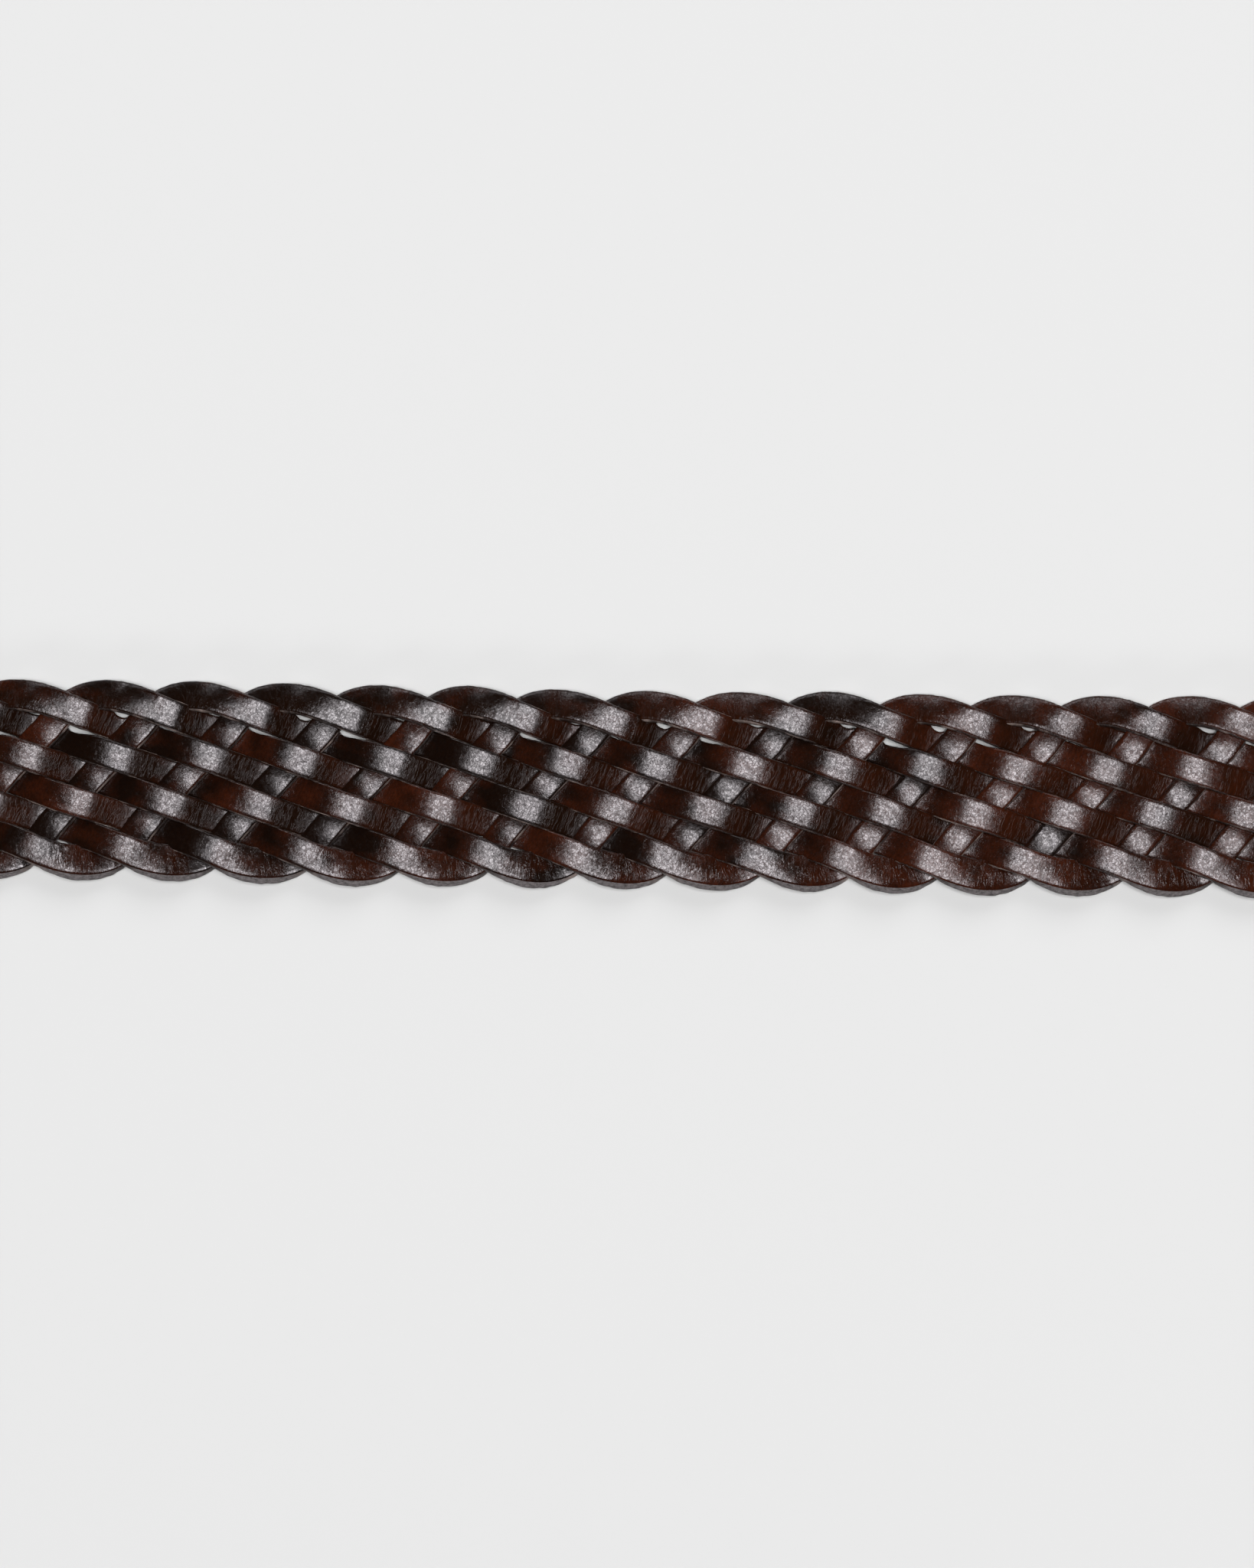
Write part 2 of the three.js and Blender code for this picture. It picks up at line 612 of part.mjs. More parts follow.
function addTip(parent) {
  const outline = (x) => tabHalfWidth(x, 0);
  const stations = tabStations(TAB_START, 0);
  const front = leaf(stations, outline, tabInside, (x) => tabInside(x) + TAB_LEATHER);
  const back = leaf(stations, outline, () => 0, () => TAB_LEATHER);

  // The seam lies on the front leaf and in a groove of the back leaf, which rests flat on the surface.
  const start = TAB_START + THREAD_INSET;
  const onTop = (x) => tabInside(x) + TAB_LEATHER + THREAD_PLAY;
  const frontThread = strip(tabSeam(start), THREAD_WIDTH, onTop, (x) => onTop(x) + THREAD_HEIGHT);
  const inGroove = THREAD_PLAY + THREAD_HEIGHT;
  const backThread = strip(tabSeam(start), THREAD_WIDTH, () => THREAD_PLAY, () => inGroove);
  const groove = strip(
    tabSeam(start - THREAD_PLAY),
    THREAD_WIDTH + 2 * THREAD_PLAY,
    () => -THREAD_PLAY,
    () => inGroove + THREAD_PLAY,
  );
  addPiece(parent, 'tip_front', front, tabLeather);
  addPiece(parent, 'tip_back', cut(back, groove), tabLeather);
  addPiece(parent, 'tip_front_thread', frontThread, threadFabric);
  addPiece(parent, 'tip_back_thread', backThread, threadFabric);

  const coreInset = 2 * FILLER_INSET;
  const core = leaf(
    tabStations(BRAID_END + STRAND_WIDTH / 2, coreInset).filter((x) => x >= BRAID_END + STRAND_WIDTH / 2),
    (x) => tabHalfWidth(x, coreInset),
    () => TAB_LEATHER + GAP,
    (x) => tabInside(x) - GAP,
  );
  addPiece(parent, 'tip_filler', core, fillerLeather);
}

// ---- The whole belt ----

const belt = new THREE.Group();
addBraid(belt);
addChape(belt);
addKeeper(belt);
addBuckle(belt);
addTip(belt);

// The origin is under the middle of the whole belt, on the surface that it lies on.
belt.updateMatrixWorld(true);
const bounds = new THREE.Box3().setFromObject(belt, true);
belt.position.x = -(bounds.min.x + bounds.max.x) / 2;
belt.position.z = -bounds.min.z;

export default belt;
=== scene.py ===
"""A braided leather belt, laid straight on a pale floor and seen from above, built round its CAD frame."""

import math

import bpy
import numpy as np
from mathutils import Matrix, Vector
from mathutils.geometry import delaunay_2d_cdt


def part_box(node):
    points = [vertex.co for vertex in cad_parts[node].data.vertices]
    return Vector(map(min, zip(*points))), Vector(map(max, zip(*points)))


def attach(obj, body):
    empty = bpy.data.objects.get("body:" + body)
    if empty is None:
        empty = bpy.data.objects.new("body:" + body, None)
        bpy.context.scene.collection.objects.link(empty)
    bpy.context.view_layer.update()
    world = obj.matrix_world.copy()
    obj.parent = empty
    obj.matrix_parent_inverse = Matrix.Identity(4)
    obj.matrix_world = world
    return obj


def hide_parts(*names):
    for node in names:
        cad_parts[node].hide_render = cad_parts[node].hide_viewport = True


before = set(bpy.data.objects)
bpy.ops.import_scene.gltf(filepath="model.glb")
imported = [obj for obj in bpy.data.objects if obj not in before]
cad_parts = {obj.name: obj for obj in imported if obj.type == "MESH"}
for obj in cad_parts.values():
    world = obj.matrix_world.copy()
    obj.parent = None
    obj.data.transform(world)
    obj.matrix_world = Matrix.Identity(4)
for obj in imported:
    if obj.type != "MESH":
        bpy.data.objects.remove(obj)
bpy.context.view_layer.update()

MM = 0.001

# ---- The plait, in millimetres. The lattice of crossings is the CAD model's. ----

PITCH = 14.86  # from scallop to scallop
ROWS = 7
STRANDS = ROWS + 1
ROW_SPACING = 3.74
EDGE_ROW_SHIFT = 0.28  # by which the outer rows lie further out
DOWN_STEP = 11.56  # along the strap, from row to row, where a strand runs to the near edge in a long leg
UP_STEP = PITCH - DOWN_STEP  # the same where it comes back in a short, steep leg
EDGE_DOWN_SLOPE = 0.40
EDGE_UP_SLOPE = 0.77
PERIOD = STRANDS * PITCH
UP_START = (ROWS - 1) * DOWN_STEP + PITCH

THICKNESS = 1.15
DOWN_WIDTH = 4.65
UP_WIDTH = 4.7
TURN_WIDTH = 4.9
RISE = 1.2  # how far a down leg's middle line rises and falls
HUMP = 0.8  # how flat the tops of the down legs are
EDGE_HUMP = 1.4  # the same for the hump next to the far edge
UP_WAVE = 0.27
TURN_DIP = 0.75
UP_ROLL = 5.0  # degrees by which the up legs lean
NEAR_LEAN = 11.0  # degrees by which a strand leans outward where it turns at the near edge
FAR_LEAN = 20.0  # the same at the far edge
TURN_INSET = 0.22  # by which the turns are drawn in towards the middle
FLARE = 0.85  # how far the flesh side sticks out beyond the grain side at a turn of the near edge
NEAR_CREASING = 3.2  # how much deeper the creases are at a turn of the near edge
EDGE_SLANT = 0.12  # by which the cut on a strand's right side leans out
SAMPLE = 0.3  # between sections, along a strand
# Where the plait stays open: the phase along a strand, how far the opening reaches back and on from there,
# and its depth.
GAPS = ((8.9, 1.5, 1.5, 0.62), (15.9, 1.3, 5.0, 0.85))
ROUNDING = 0.24  # radius of a strand's upper edges

BAR = (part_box("buckle_bar")[0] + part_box("buckle_bar")[1]) / 2 / MM  # the middle of the buckle's bar
RAMP = 100.0  # the length over which the plait comes down from a thick end, as in the CAD model
BRAID_TUCK = 30.0
HELD_SHARE = 0.11  # of its width, that the plait loses between the leaves of the ends
CHAPE_CENTRE_HEIGHT = (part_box("chape")[0].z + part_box("chape")[1].z) / 2 / MM
CHAPE_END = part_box("chape")[1].x / MM
TAB_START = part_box("tip_front")[0].x / MM
BRAID_START = CHAPE_END - BRAID_TUCK
BRAID_END = TAB_START + BRAID_TUCK
BRAID_FLOOR = RISE + THICKNESS / 2
LEAF_GAP = 0.2  # between a leaf of the tip and what lies on it
CAD_BRAID = 3.5  # thickness of the plait between the leaves
TAB_CENTRE_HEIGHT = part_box("tip_back")[1].z / MM + LEAF_GAP + CAD_BRAID / 2


# ---- Helpers ----


def mix(a, b, share):
    return a + (b - a) * share


def smoothstep(t):
    """An S-shaped step from 0 to 1, while t goes from 0 to 1."""
    t = np.clip(t, 0, 1)
    return t * t * (3 - 2 * t)


def noise(u, v, seed):
    """Smooth noise from -1 to 1 over two coordinates, on a wrapping grid of random values."""
    size = 256
    grid = np.random.default_rng(seed).uniform(-1, 1, (size, size))
    i, j = np.floor(u).astype(int), np.floor(v).astype(int)
    fu, fv = u - i, v - j
    fu, fv = fu * fu * (3 - 2 * fu), fv * fv * (3 - 2 * fv)
    a, b = grid[i % size, j % size], grid[(i + 1) % size, j % size]
    c, d = grid[i % size, (j + 1) % size], grid[(i + 1) % size, (j + 1) % size]
    return (a * (1 - fu) + b * fu) * (1 - fv) + (c * (1 - fu) + d * fu) * fv


def add_mesh(name, points, faces, materials, material_index=None, uv=None, attributes=None):
    """A mesh object from points in metres and triangles or quads, with values for its point attributes."""
    mesh = bpy.data.meshes.new(name)
    mesh.vertices.add(len(points))
    mesh.vertices.foreach_set("co", np.asarray(points, np.float32).ravel())
    mesh.loops.add(faces.size)
    mesh.loops.foreach_set("vertex_index", faces.ravel().astype(np.int32))
    mesh.polygons.add(len(faces))
    mesh.polygons.foreach_set("loop_start", np.arange(0, faces.size, faces.shape[1], dtype=np.int32))
    mesh.polygons.foreach_set("use_smooth", np.full(len(faces), True))
    for material in materials:
        mesh.materials.append(material)
    if material_index is not None:
        mesh.polygons.foreach_set("material_index", material_index.astype(np.int32))
    mesh.update(calc_edges=True)
    if uv is not None:
        layer = mesh.uv_layers.new(name="UVMap")
        layer.data.foreach_set("uv", np.asarray(uv[faces.ravel()], np.float32).ravel())
    for key, values in (attributes or {}).items():
        layer = mesh.attributes.new(key, "FLOAT", "POINT")
        layer.data.foreach_set("value", np.asarray(values, np.float32).ravel())
    mesh.validate()
    obj = bpy.data.objects.new(name, mesh)
    bpy.context.scene.collection.objects.link(obj)
    return obj


def tube_quads(rings, sides):
    """The faces of a tube whose points are listed ring by ring."""
    here = (np.arange(rings - 1) * sides)[:, None] + np.arange(sides)[None, :]
    beside = (np.arange(rings - 1) * sides)[:, None] + ((np.arange(sides) + 1) % sides)[None, :]
    return np.stack([here, beside, beside + sides, here + sides], -1).reshape(-1, 4)


# ---- Materials ----


class Nodes:
    """A material's node tree, with short ways to add and join nodes."""

    def __init__(self, name):
        self.material = bpy.data.materials.new(name)
        self.material.use_nodes = True
        self.tree = self.material.node_tree
        self.tree.nodes.clear()
        self.shader = self.tree.nodes.new("ShaderNodeBsdfPrincipled")
        self.add("ShaderNodeOutputMaterial", {"Surface": self.shader.outputs["BSDF"]})

    def add(self, kind, inputs=None, **settings):
        node = self.tree.nodes.new(kind)
        for key, value in settings.items():
            setattr(node, key, value)
        for key, value in (inputs or {}).items():
            self.put(node, key, value)
        return node

    def put(self, node, key, value):
        if isinstance(value, bpy.types.NodeSocket):
            self.tree.links.new(value, node.inputs[key])
        else:
            node.inputs[key].default_value = value

    def shade(self, key, value):
        self.put(self.shader, key, value)

    def uv(self):
        return self.add("ShaderNodeUVMap", uv_map="UVMap").outputs[0]

    def attribute(self, name):
        return self.add("ShaderNodeAttribute", attribute_name=name).outputs["Fac"]

    def maths(self, operation, a, b=0.0):
        return self.add("ShaderNodeMath", {0: a, 1: b}, operation=operation).outputs[0]

    def remap(self, value, low, high, to_low=0.0, to_high=1.0):
        inputs = {0: value, 1: low, 2: high, 3: to_low, 4: to_high}
        return self.add("ShaderNodeMapRange", inputs).outputs[0]

    def thin_lines(self, value, width):
        """0 along the winding lines where a noise is at its middle, and 1 away from them."""
        return self.remap(self.maths("ABSOLUTE", self.maths("SUBTRACT", value, 0.5)), 0.0, width)

    def mix(self, share, a, b):
        """A mix of two colours, whose sockets on this node are 6 and 7, and 2 for the result."""
        return self.add("ShaderNodeMix", {0: share, 6: a, 7: b}, data_type="RGBA").outputs[2]

    def noise(self, vector, scale, detail=2.0, roughness=0.5, distortion=0.0):
        inputs = {"Scale": scale, "Detail": detail, "Roughness": roughness, "Distortion": distortion}
        return self.add("ShaderNodeTexNoise", {"Vector": vector, **inputs}).outputs["Fac"]

    def warped(self, vector, amount, scale):
        """The vector moved about by noise, each coordinate by from 0 to amount."""
        drift = self.add("ShaderNodeTexNoise", {"Vector": vector, "Scale": scale, "Detail": 2.0})
        inputs = {0: drift.outputs["Color"], 1: (amount, amount, 0.0), 2: vector}
        return self.add("ShaderNodeVectorMath", inputs, operation="MULTIPLY_ADD").outputs[0]

    def stretched(self, vector, x, y):
        return self.add("ShaderNodeMapping", {"Vector": vector, "Scale": (x, y, 1.0)}).outputs[0]

    def bump(self, height, strength, distance, after=None):
        """A normal that follows a height, on top of another normal where one is given."""
        inputs = {"Strength": strength, "Distance": distance, "Height": height}
        if after is not None:
            inputs["Normal"] = after
        return self.add("ShaderNodeBump", inputs).outputs[0]


def linear(red, green, blue):
    """A colour given as it shows on a screen, from 0 to 255, as the shader needs it."""
    values = [c / 255 for c in (red, green, blue)]
    return tuple(c / 12.92 if c <= 0.04045 else ((c + 0.055) / 1.055) ** 2.4 for c in values) + (1.0,)


def strand_grain():
    """The polished grain side of a strand: dark dye, redder in places, over a fine pebbled grain."""
    n = Nodes("strand_grain")
    uv = n.uv()
    tone, crinkle, crease = n.attribute("tone"), n.attribute("crinkle"), n.attribute("crease")
    blotch = n.noise(uv, 0.35, 3.0, 0.6)
    flecks = n.noise(n.stretched(uv, 1.0, 0.55), 2.4, 3.0, 0.6)
    red = n.remap(n.maths("ADD", tone, n.maths("MULTIPLY", blotch, 0.5)), 0.0, 0.9)
    colour = n.mix(red, linear(17, 7, 3), linear(58, 23, 9))
    dark = n.remap(flecks, 0.35, 0.65, 0.5, 0.0)
    colour = n.mix(dark, colour, linear(8, 4, 3))
    colour = n.mix(n.maths("MULTIPLY", crinkle, 0.4), colour, linear(28, 13, 6))
    n.shade("Base Color", colour)
    pebble = n.noise(uv, 1.5, 3.0, 0.55, 0.6)
    fine = n.noise(uv, 5.0, 2.0, 0.5)
    creases = n.thin_lines(n.noise(n.stretched(uv, 1.5, 0.35), 1.0, 3.0, 0.6, 0.8), 0.07)
    lines = n.maths("MULTIPLY", n.maths("SUBTRACT", creases, 1.0), crease)
    veins = n.thin_lines(n.noise(n.stretched(uv, 1.1, 0.8), 1.2, 3.0, 0.6, 0.7), 0.05)
    cell_inputs = {"Vector": n.warped(uv, 0.8, 1.6), "Scale": 2.2}
    cells = n.add("ShaderNodeTexVoronoi", cell_inputs, feature="DISTANCE_TO_EDGE")
    valleys = n.remap(cells.outputs["Distance"], 0.0, 0.2)
    normal = n.bump(pebble, 0.3, 0.00004)
    normal = n.bump(valleys, 0.1, 0.00002, normal)
    normal = n.bump(veins, 0.25, 0.00002, normal)
    normal = n.bump(fine, 0.2, 0.00001, normal)
    normal = n.bump(lines, 0.4, 0.00005, normal)
    n.shade("Normal", normal)
    n.shade("Roughness", n.remap(n.noise(uv, 0.9, 3.0), 0.3, 0.7, 0.16, 0.23))
    # The grain's valleys are dull, so that a highlight breaks up into specks.
    pits = n.remap(n.noise(uv, 1.5, 4.0, 0.65), 0.25, 0.55)
    shine = n.maths("MULTIPLY", pits, n.remap(veins, 0.0, 1.0, 0.4, 1.0))
    shine = n.maths("MULTIPLY", shine, n.remap(valleys, 0.0, 1.0, 0.3, 1.0))
    shine = n.maths("MULTIPLY", shine, n.remap(crinkle, 0.0, 1.0, 1.0, 0.12))
    n.shade("Specular IOR Level", n.remap(shine, 0.0, 1.0, 0.05, 0.52))
    n.shade("Specular Tint", (1.0, 0.95, 0.985, 1.0))
    return n.material


def raw_edge():
    """The cut edge of a strand: dyed dark, and fibrous, grey and dry where the near edge turns."""
    n = Nodes("strand_cut_edge")
    uv = n.uv()
    bare = n.attribute("bare")
    fibres = n.noise(n.stretched(uv, 1.0, 2.0), 1.5, 5.0, 0.75)
    fibres = n.remap(fibres, 0.3, 0.7)
    dry = n.mix(fibres, linear(28, 23, 23), linear(124, 117, 118))
    worn = n.remap(n.noise(n.stretched(uv, 1.0, 0.2), 0.22, 3.0, 0.6), 0.48, 0.66, 0.0, 0.8)
    dyed = n.mix(fibres, linear(12, 7, 5), linear(44, 28, 22))
    dyed = n.mix(worn, dyed, linear(136, 120, 114))
    n.shade("Base Color", n.mix(bare, dyed, dry))
    n.shade("Normal", n.bump(fibres, 0.8, 0.0002))
    n.shade("Roughness", n.remap(bare, 0.0, 1.0, 0.4, 0.75))
    n.shade("Specular IOR Level", 0.4)
    return n.material


def flesh_side():
    """The back of a strand: dyed suede."""
    n = Nodes("strand_flesh_side")
    uv = n.uv()
    nap = n.noise(uv, 3.5, 5.0, 0.7)
    cloud = n.noise(uv, 0.4, 3.0)
    colour = n.mix(nap, linear(58, 38, 30), linear(92, 66, 52))
    n.shade("Base Color", n.mix(n.maths("MULTIPLY", cloud, 0.6), colour, linear(48, 30, 24)))
    n.shade("Normal", n.bump(nap, 0.8, 0.0002))
    n.shade("Roughness", n.remap(nap, 0.3, 0.7, 0.75, 0.95))
    n.shade("Sheen Weight", 0.3)
    return n.material


def tab_leather():
    """The smooth grain leather of the buckle end, the keeper and the tip."""
    n = Nodes("tab_leather")
    uv = n.uv()
    cloud = n.noise(uv, 0.12, 4.0, 0.6)
    flecks = n.noise(uv, 1.4, 4.0, 0.65)
    colour = n.mix(n.remap(cloud, 0.35, 0.65), linear(26, 11, 7), linear(52, 21, 12))
    n.shade("Base Color", n.mix(n.remap(flecks, 0.4, 0.6, 0.45, 0.0), colour, linear(14, 6, 4)))
    cells = n.add("ShaderNodeTexVoronoi", {"Vector": uv, "Scale": 1.9}, feature="SMOOTH_F1")
    pebbles = n.remap(cells.outputs["Distance"], 0.1, 0.7, 1.0, 0.0)
    normal = n.bump(pebbles, 0.3, 0.00003)
    normal = n.bump(n.noise(uv, 0.4, 3.0, 0.5), 0.25, 0.00007, normal)
    n.shade("Normal", normal)
    n.shade("Roughness", n.remap(n.noise(uv, 0.5, 3.0), 0.3, 0.7, 0.22, 0.32))
    n.shade("Specular IOR Level", n.remap(pebbles, 0.0, 1.0, 0.28, 0.46))
    return n.material


def fibrous(name, stretch, texture, dark, light, relief, roughness, metallic=0.0):
    """A material whose colour, relief and roughness all follow one stretched noise."""
    n = Nodes(name)
    fibres = n.noise(n.stretched(n.uv(), *stretch), *texture)
    n.shade("Base Color", n.mix(fibres, dark, light))
    n.shade("Normal", n.bump(fibres, *relief))
    n.shade("Roughness", n.remap(fibres, 0.3, 0.7, *roughness))
    n.shade("Metallic", metallic)
    return n.material


def dyed_edge():
    """The burnished edge of the tab leather."""
    dark, light = linear(14, 7, 5), linear(40, 20, 13)
    return fibrous("tab_dyed_edge", (0.6, 2.5), (1.5, 4.0, 0.65), dark, light, (0.5, 0.00008), (0.32, 0.5))


def packing_leather():
    """The leather that fills the space between two leaves, dyed a lighter brown at its cut edges."""
    dark, light = linear(34, 20, 14), linear(74, 48, 35)
    return fibrous("packing_leather", (1.0, 2.5), (1.6, 5.0, 0.7), dark, light, (0.7, 0.00015), (0.75, 0.92))


def drawn_steel():
    """Plain steel wire and pin."""
    dark, light = linear(150, 148, 145), linear(190, 189, 187)
    return fibrous("drawn_steel", (0.3, 5.0), (2.0, 3.0, 0.6), dark, light, (0.2, 0.00002), (0.28, 0.4), 1.0)


def waxed_thread():
    """Twisted dark brown thread: fine ridges run across it at a slant."""
    n = Nodes("waxed_thread")
    slant = n.add("ShaderNodeMapping", {"Vector": n.uv(), "Rotation": (0, 0, math.radians(38))}).outputs[0]
    wave_inputs = {"Vector": slant, "Scale": 1.6, "Distortion": 0.6, "Detail": 1.0}
    ply = n.add("ShaderNodeTexWave", wave_inputs, wave_type="BANDS").outputs["Fac"]
    n.shade("Base Color", n.mix(ply, linear(44, 27, 19), linear(104, 74, 54)))
    n.shade("Normal", n.bump(ply, 0.8, 0.00006))
    n.shade("Roughness", n.remap(ply, 0.0, 1.0, 0.6, 0.42))
    return n.material


def antique_brass():
    """Satin brass plating, darker where it has aged, with fine brushing along the strap."""
    n = Nodes("antique_brass")
    uv = n.uv()
    age = n.noise(uv, 0.16, 4.0, 0.65)
    brushing = n.noise(n.stretched(uv, 0.35, 7.0), 1.6, 3.0, 0.6)
    colour = n.mix(n.remap(age, 0.35, 0.7), linear(196, 160, 100), linear(150, 112, 62))
    n.shade("Base Color", n.mix(n.remap(brushing, 0.3, 0.7, 0.0, 0.25), colour, linear(110, 80, 44)))
    n.shade("Normal", n.bump(brushing, 0.25, 0.00002))
    n.shade("Roughness", n.remap(age, 0.3, 0.7, 0.24, 0.36))
    n.shade("Metallic", 1.0)
    return n.material


# ---- Strands ----


def crossings():
    """The places, offsets, slopes and heights of one strand's crossings in a period, in order."""
    legs = []
    for row in range(1, ROWS + 1):
        legs.append((row, (row - 1) * DOWN_STEP, -EDGE_DOWN_SLOPE, -ROW_SPACING / DOWN_STEP, RISE))
    for row in range(ROWS, 0, -1):
        place = UP_START + (ROWS - row) * UP_STEP
        legs.append((row, place, EDGE_UP_SLOPE, ROW_SPACING / UP_STEP, -UP_WAVE))
    knots = []
    for row, x, edge_slope, slope, height in legs:
        shift = EDGE_ROW_SHIFT * ((row == 1) - (row == ROWS))
        y = ((ROWS + 1) / 2 - row) * ROW_SPACING + shift
        knots.append((x, y, edge_slope if row in (1, ROWS) else slope, height if row % 2 else -height))
    knots.append((PERIOD, *knots[0][1:]))
    return np.array(knots).T


def strand_line(number):
    """A strand's middle line and what goes with it, as arrays over sections that lie SAMPLE apart.

    The phase is where a section lies in the strand's period: the long legs to the near edge, a turn, the
    short legs back and a turn at the far edge. k counts the stretches between its crossings.
    """
    kx, ky, kslope, kz = crossings()
    x = np.arange(BRAID_START, BRAID_END, 0.05)
    phase = np.mod(x - BAR.x - number * PITCH, PERIOD)
    k = np.clip(np.searchsorted(kx, phase, side="right") - 1, 0, len(kx) - 2)
    span = kx[k + 1] - kx[k]
    t = (phase - kx[k]) / span
    y = ky[k] * (1 + 2 * t) * (1 - t) ** 2 + ky[k + 1] * t**2 * (3 - 2 * t)
    y += span * (kslope[k] * t * (1 - t) ** 2 - kslope[k + 1] * t**2 * (1 - t))

    near_turn = k == ROWS - 1
    far_turn = k == 2 * ROWS - 1
    hump = np.where(k == 0, EDGE_HUMP, HUMP)
    wave = np.tanh(hump * np.cos(math.pi * t)) / np.tanh(hump)
    z = (kz[k] + kz[k + 1]) / 2 + (kz[k] - kz[k + 1]) / 2 * wave
    out = np.where(near_turn, 1 - t, t)  # from the up leg's end of a turn to the down leg's end
    turning = far_turn | near_turn
    dip = -TURN_DIP * np.sin(math.pi * np.clip((out + 0.15) / 0.8, 0, 1)) ** 2
    climb = (RISE + UP_WAVE) * (1 - np.clip((1 - out) / 0.85, 0, 1) ** 1.6) - UP_WAVE
    z = np.where(turning, climb + dip, z)

    down = k < ROWS - 1
    up = (k >= ROWS) & (k < 2 * ROWS - 1)
    turn_share = np.where(turning, np.sin(math.pi * t) ** 2, 0)
    straight = np.where(down, DOWN_WIDTH, np.where(up, UP_WIDTH, mix(UP_WIDTH, DOWN_WIDTH, out)))
    width = mix(straight, TURN_WIDTH, turn_share)
    roll = np.where(up, math.radians(-UP_ROLL), 0)
    lean = np.sin(math.pi * np.clip(out, 0, 1) ** 0.75) * turning
    roll = roll - np.radians(np.where(near_turn, NEAR_LEAN, FAR_LEAN)) * lean
    hump_end = np.where(k == 0, 0.3, 0.19)
    falling = smoothstep((t - hump_end) / 0.14) * (1 - smoothstep((t - 0.7) / 0.2))
    falling = np.where(down & (k % 2 == 0), falling, 0)
    crinkle = np.maximum(falling, 0.9 * turn_share)

    # Handwork: the whole lattice wanders a little, and so does each strand.
    wander = noise(x / 21, y / 14 + 40, 11) * 0.55
    sway = noise(x / 26 + 9, y / 16, 12) * 0.28 + noise(x / 90, x * 0 + 3.5, 13) * 0.35
    own = noise(x / 9, x * 0 + number * 3.3, 14) * 0.13
    inward = TURN_INSET * np.where(far_turn, -1, 1) * turn_share
    px, py = x + wander, y + sway + own + inward

    # Between the leaves of the ends the plait is pulled in, so that they cover it.
    held = smoothstep((CHAPE_END + 2 - px) / 9) + smoothstep((px - TAB_START + 2) / 9)
    py = py * (1 - HELD_SHARE * held)
    z = z + lift(px)
    along = np.concatenate([[0], np.cumsum(np.sqrt(np.diff(px) ** 2 + np.diff(py) ** 2 + np.diff(z) ** 2))])
    s = np.linspace(0, along[-1], int(along[-1] / SAMPLE))

    def take(values):
        return np.interp(s, along, values)

    return {
        "s": s,
        "centre": np.stack([take(px), take(py), take(z)], 1),
        "width": take(width) * (1 + 0.03 * noise(s / 7, s * 0 + number, 15)),
        "roll": take(roll) + math.radians(2.5) * noise(s / 8, s * 0 + number * 5, 16),
        "crinkle": take(crinkle),
        "turn": take(np.where(near_turn, -turn_share, turn_share)),
        "up": take(np.where(up, 1.0, 0.0)),
        "phase": take(np.unwrap(phase, period=PERIOD)),
    }


def gaps(phase, number):
    """How far a strand's left edge is drawn back beside each place where light shows through the plait."""
    back = np.zeros(len(phase))
    for place, behind, ahead, depth in GAPS:
        turn = np.round((phase - place) / PERIOD)
        own = np.clip(0.6 + 1.5 * noise(turn * 3.7 + place, turn * 0 + number * 2.9, 17), 0, 1.15)
        away = phase - place - turn * PERIOD
        shape = np.where(away < 0, np.exp(-((away / behind) ** 4)), 1 - smoothstep(away / ahead))
        back += depth * own * shape
    return back


def lift(x):
    """The height of the middle of the plait: on the surface, and raised where the leaves hold it."""
    from_chape = mix(CHAPE_CENTRE_HEIGHT, BRAID_FLOOR, smoothstep((x - CHAPE_END) / RAMP))
    to_tab = (TAB_CENTRE_HEIGHT - BRAID_FLOOR) * smoothstep((x - TAB_START + RAMP) / RAMP)
    return from_chape + to_tab


def strand_section():
    """The points round a strand's section: two offsets, across and up, and a kind.

    An offset across is a share of half the width and a share of the rounding. An offset up is a share of half
    the thickness and a share of the rounding.
    """
    outline = []
    for a in np.linspace(1, -1, 11):
        outline.append(((a, -a), (1, 0), "grain"))
    for turn in (30, 60):
        turn = math.radians(turn)
        outline.append(((-1, 1 - math.sin(turn)), (1, math.cos(turn) - 1), "grain"))
    outline.append(((-1, 0), (1, -1), "edge"))
    outline.append(((-1, -0.1), (-0.2, 0), "edge"))
    outline.append(((-1, 0.1), (-0.8, 0), "edge"))
    for a in np.linspace(-0.94, 0.94, 5):
        outline.append(((a, 0), (-1, 0), "flesh"))
    outline.append(((1, -0.1), (-0.8, 0), "edge"))
    outline.append(((1, 0.1), (-0.2, 0), "edge"))
    outline.append(((1, 0), (1, -1), "edge"))
    for turn in (60, 30):
        turn = math.radians(turn)
        outline.append(((1, -(1 - math.sin(turn))), (1, math.cos(turn) - 1), "grain"))
    return outline


KINDS = {"grain": 0, "edge": 1, "flesh": 2}  # the places of their materials on a strand


def kind_between(a, b):
    """The kind of the face between two points of a section."""
    if "flesh" in (a, b):
        return "flesh"
    return "grain" if a == b == "grain" else "edge"


def directions(centre, roll):
    """The directions across and up from a strand's middle line, turned about it by its roll."""
    tangent = np.gradient(centre, axis=0)
    tangent /= np.linalg.norm(tangent, axis=1)[:, None]
    left = np.stack([-tangent[:, 1], tangent[:, 0], np.zeros(len(centre))], 1)
    left /= np.linalg.norm(left, axis=1)[:, None]
    up = np.cross(tangent, left)
    cos, sin = np.cos(roll)[:, None], np.sin(roll)[:, None]
    return cos * left + sin * up, cos * up - sin * left


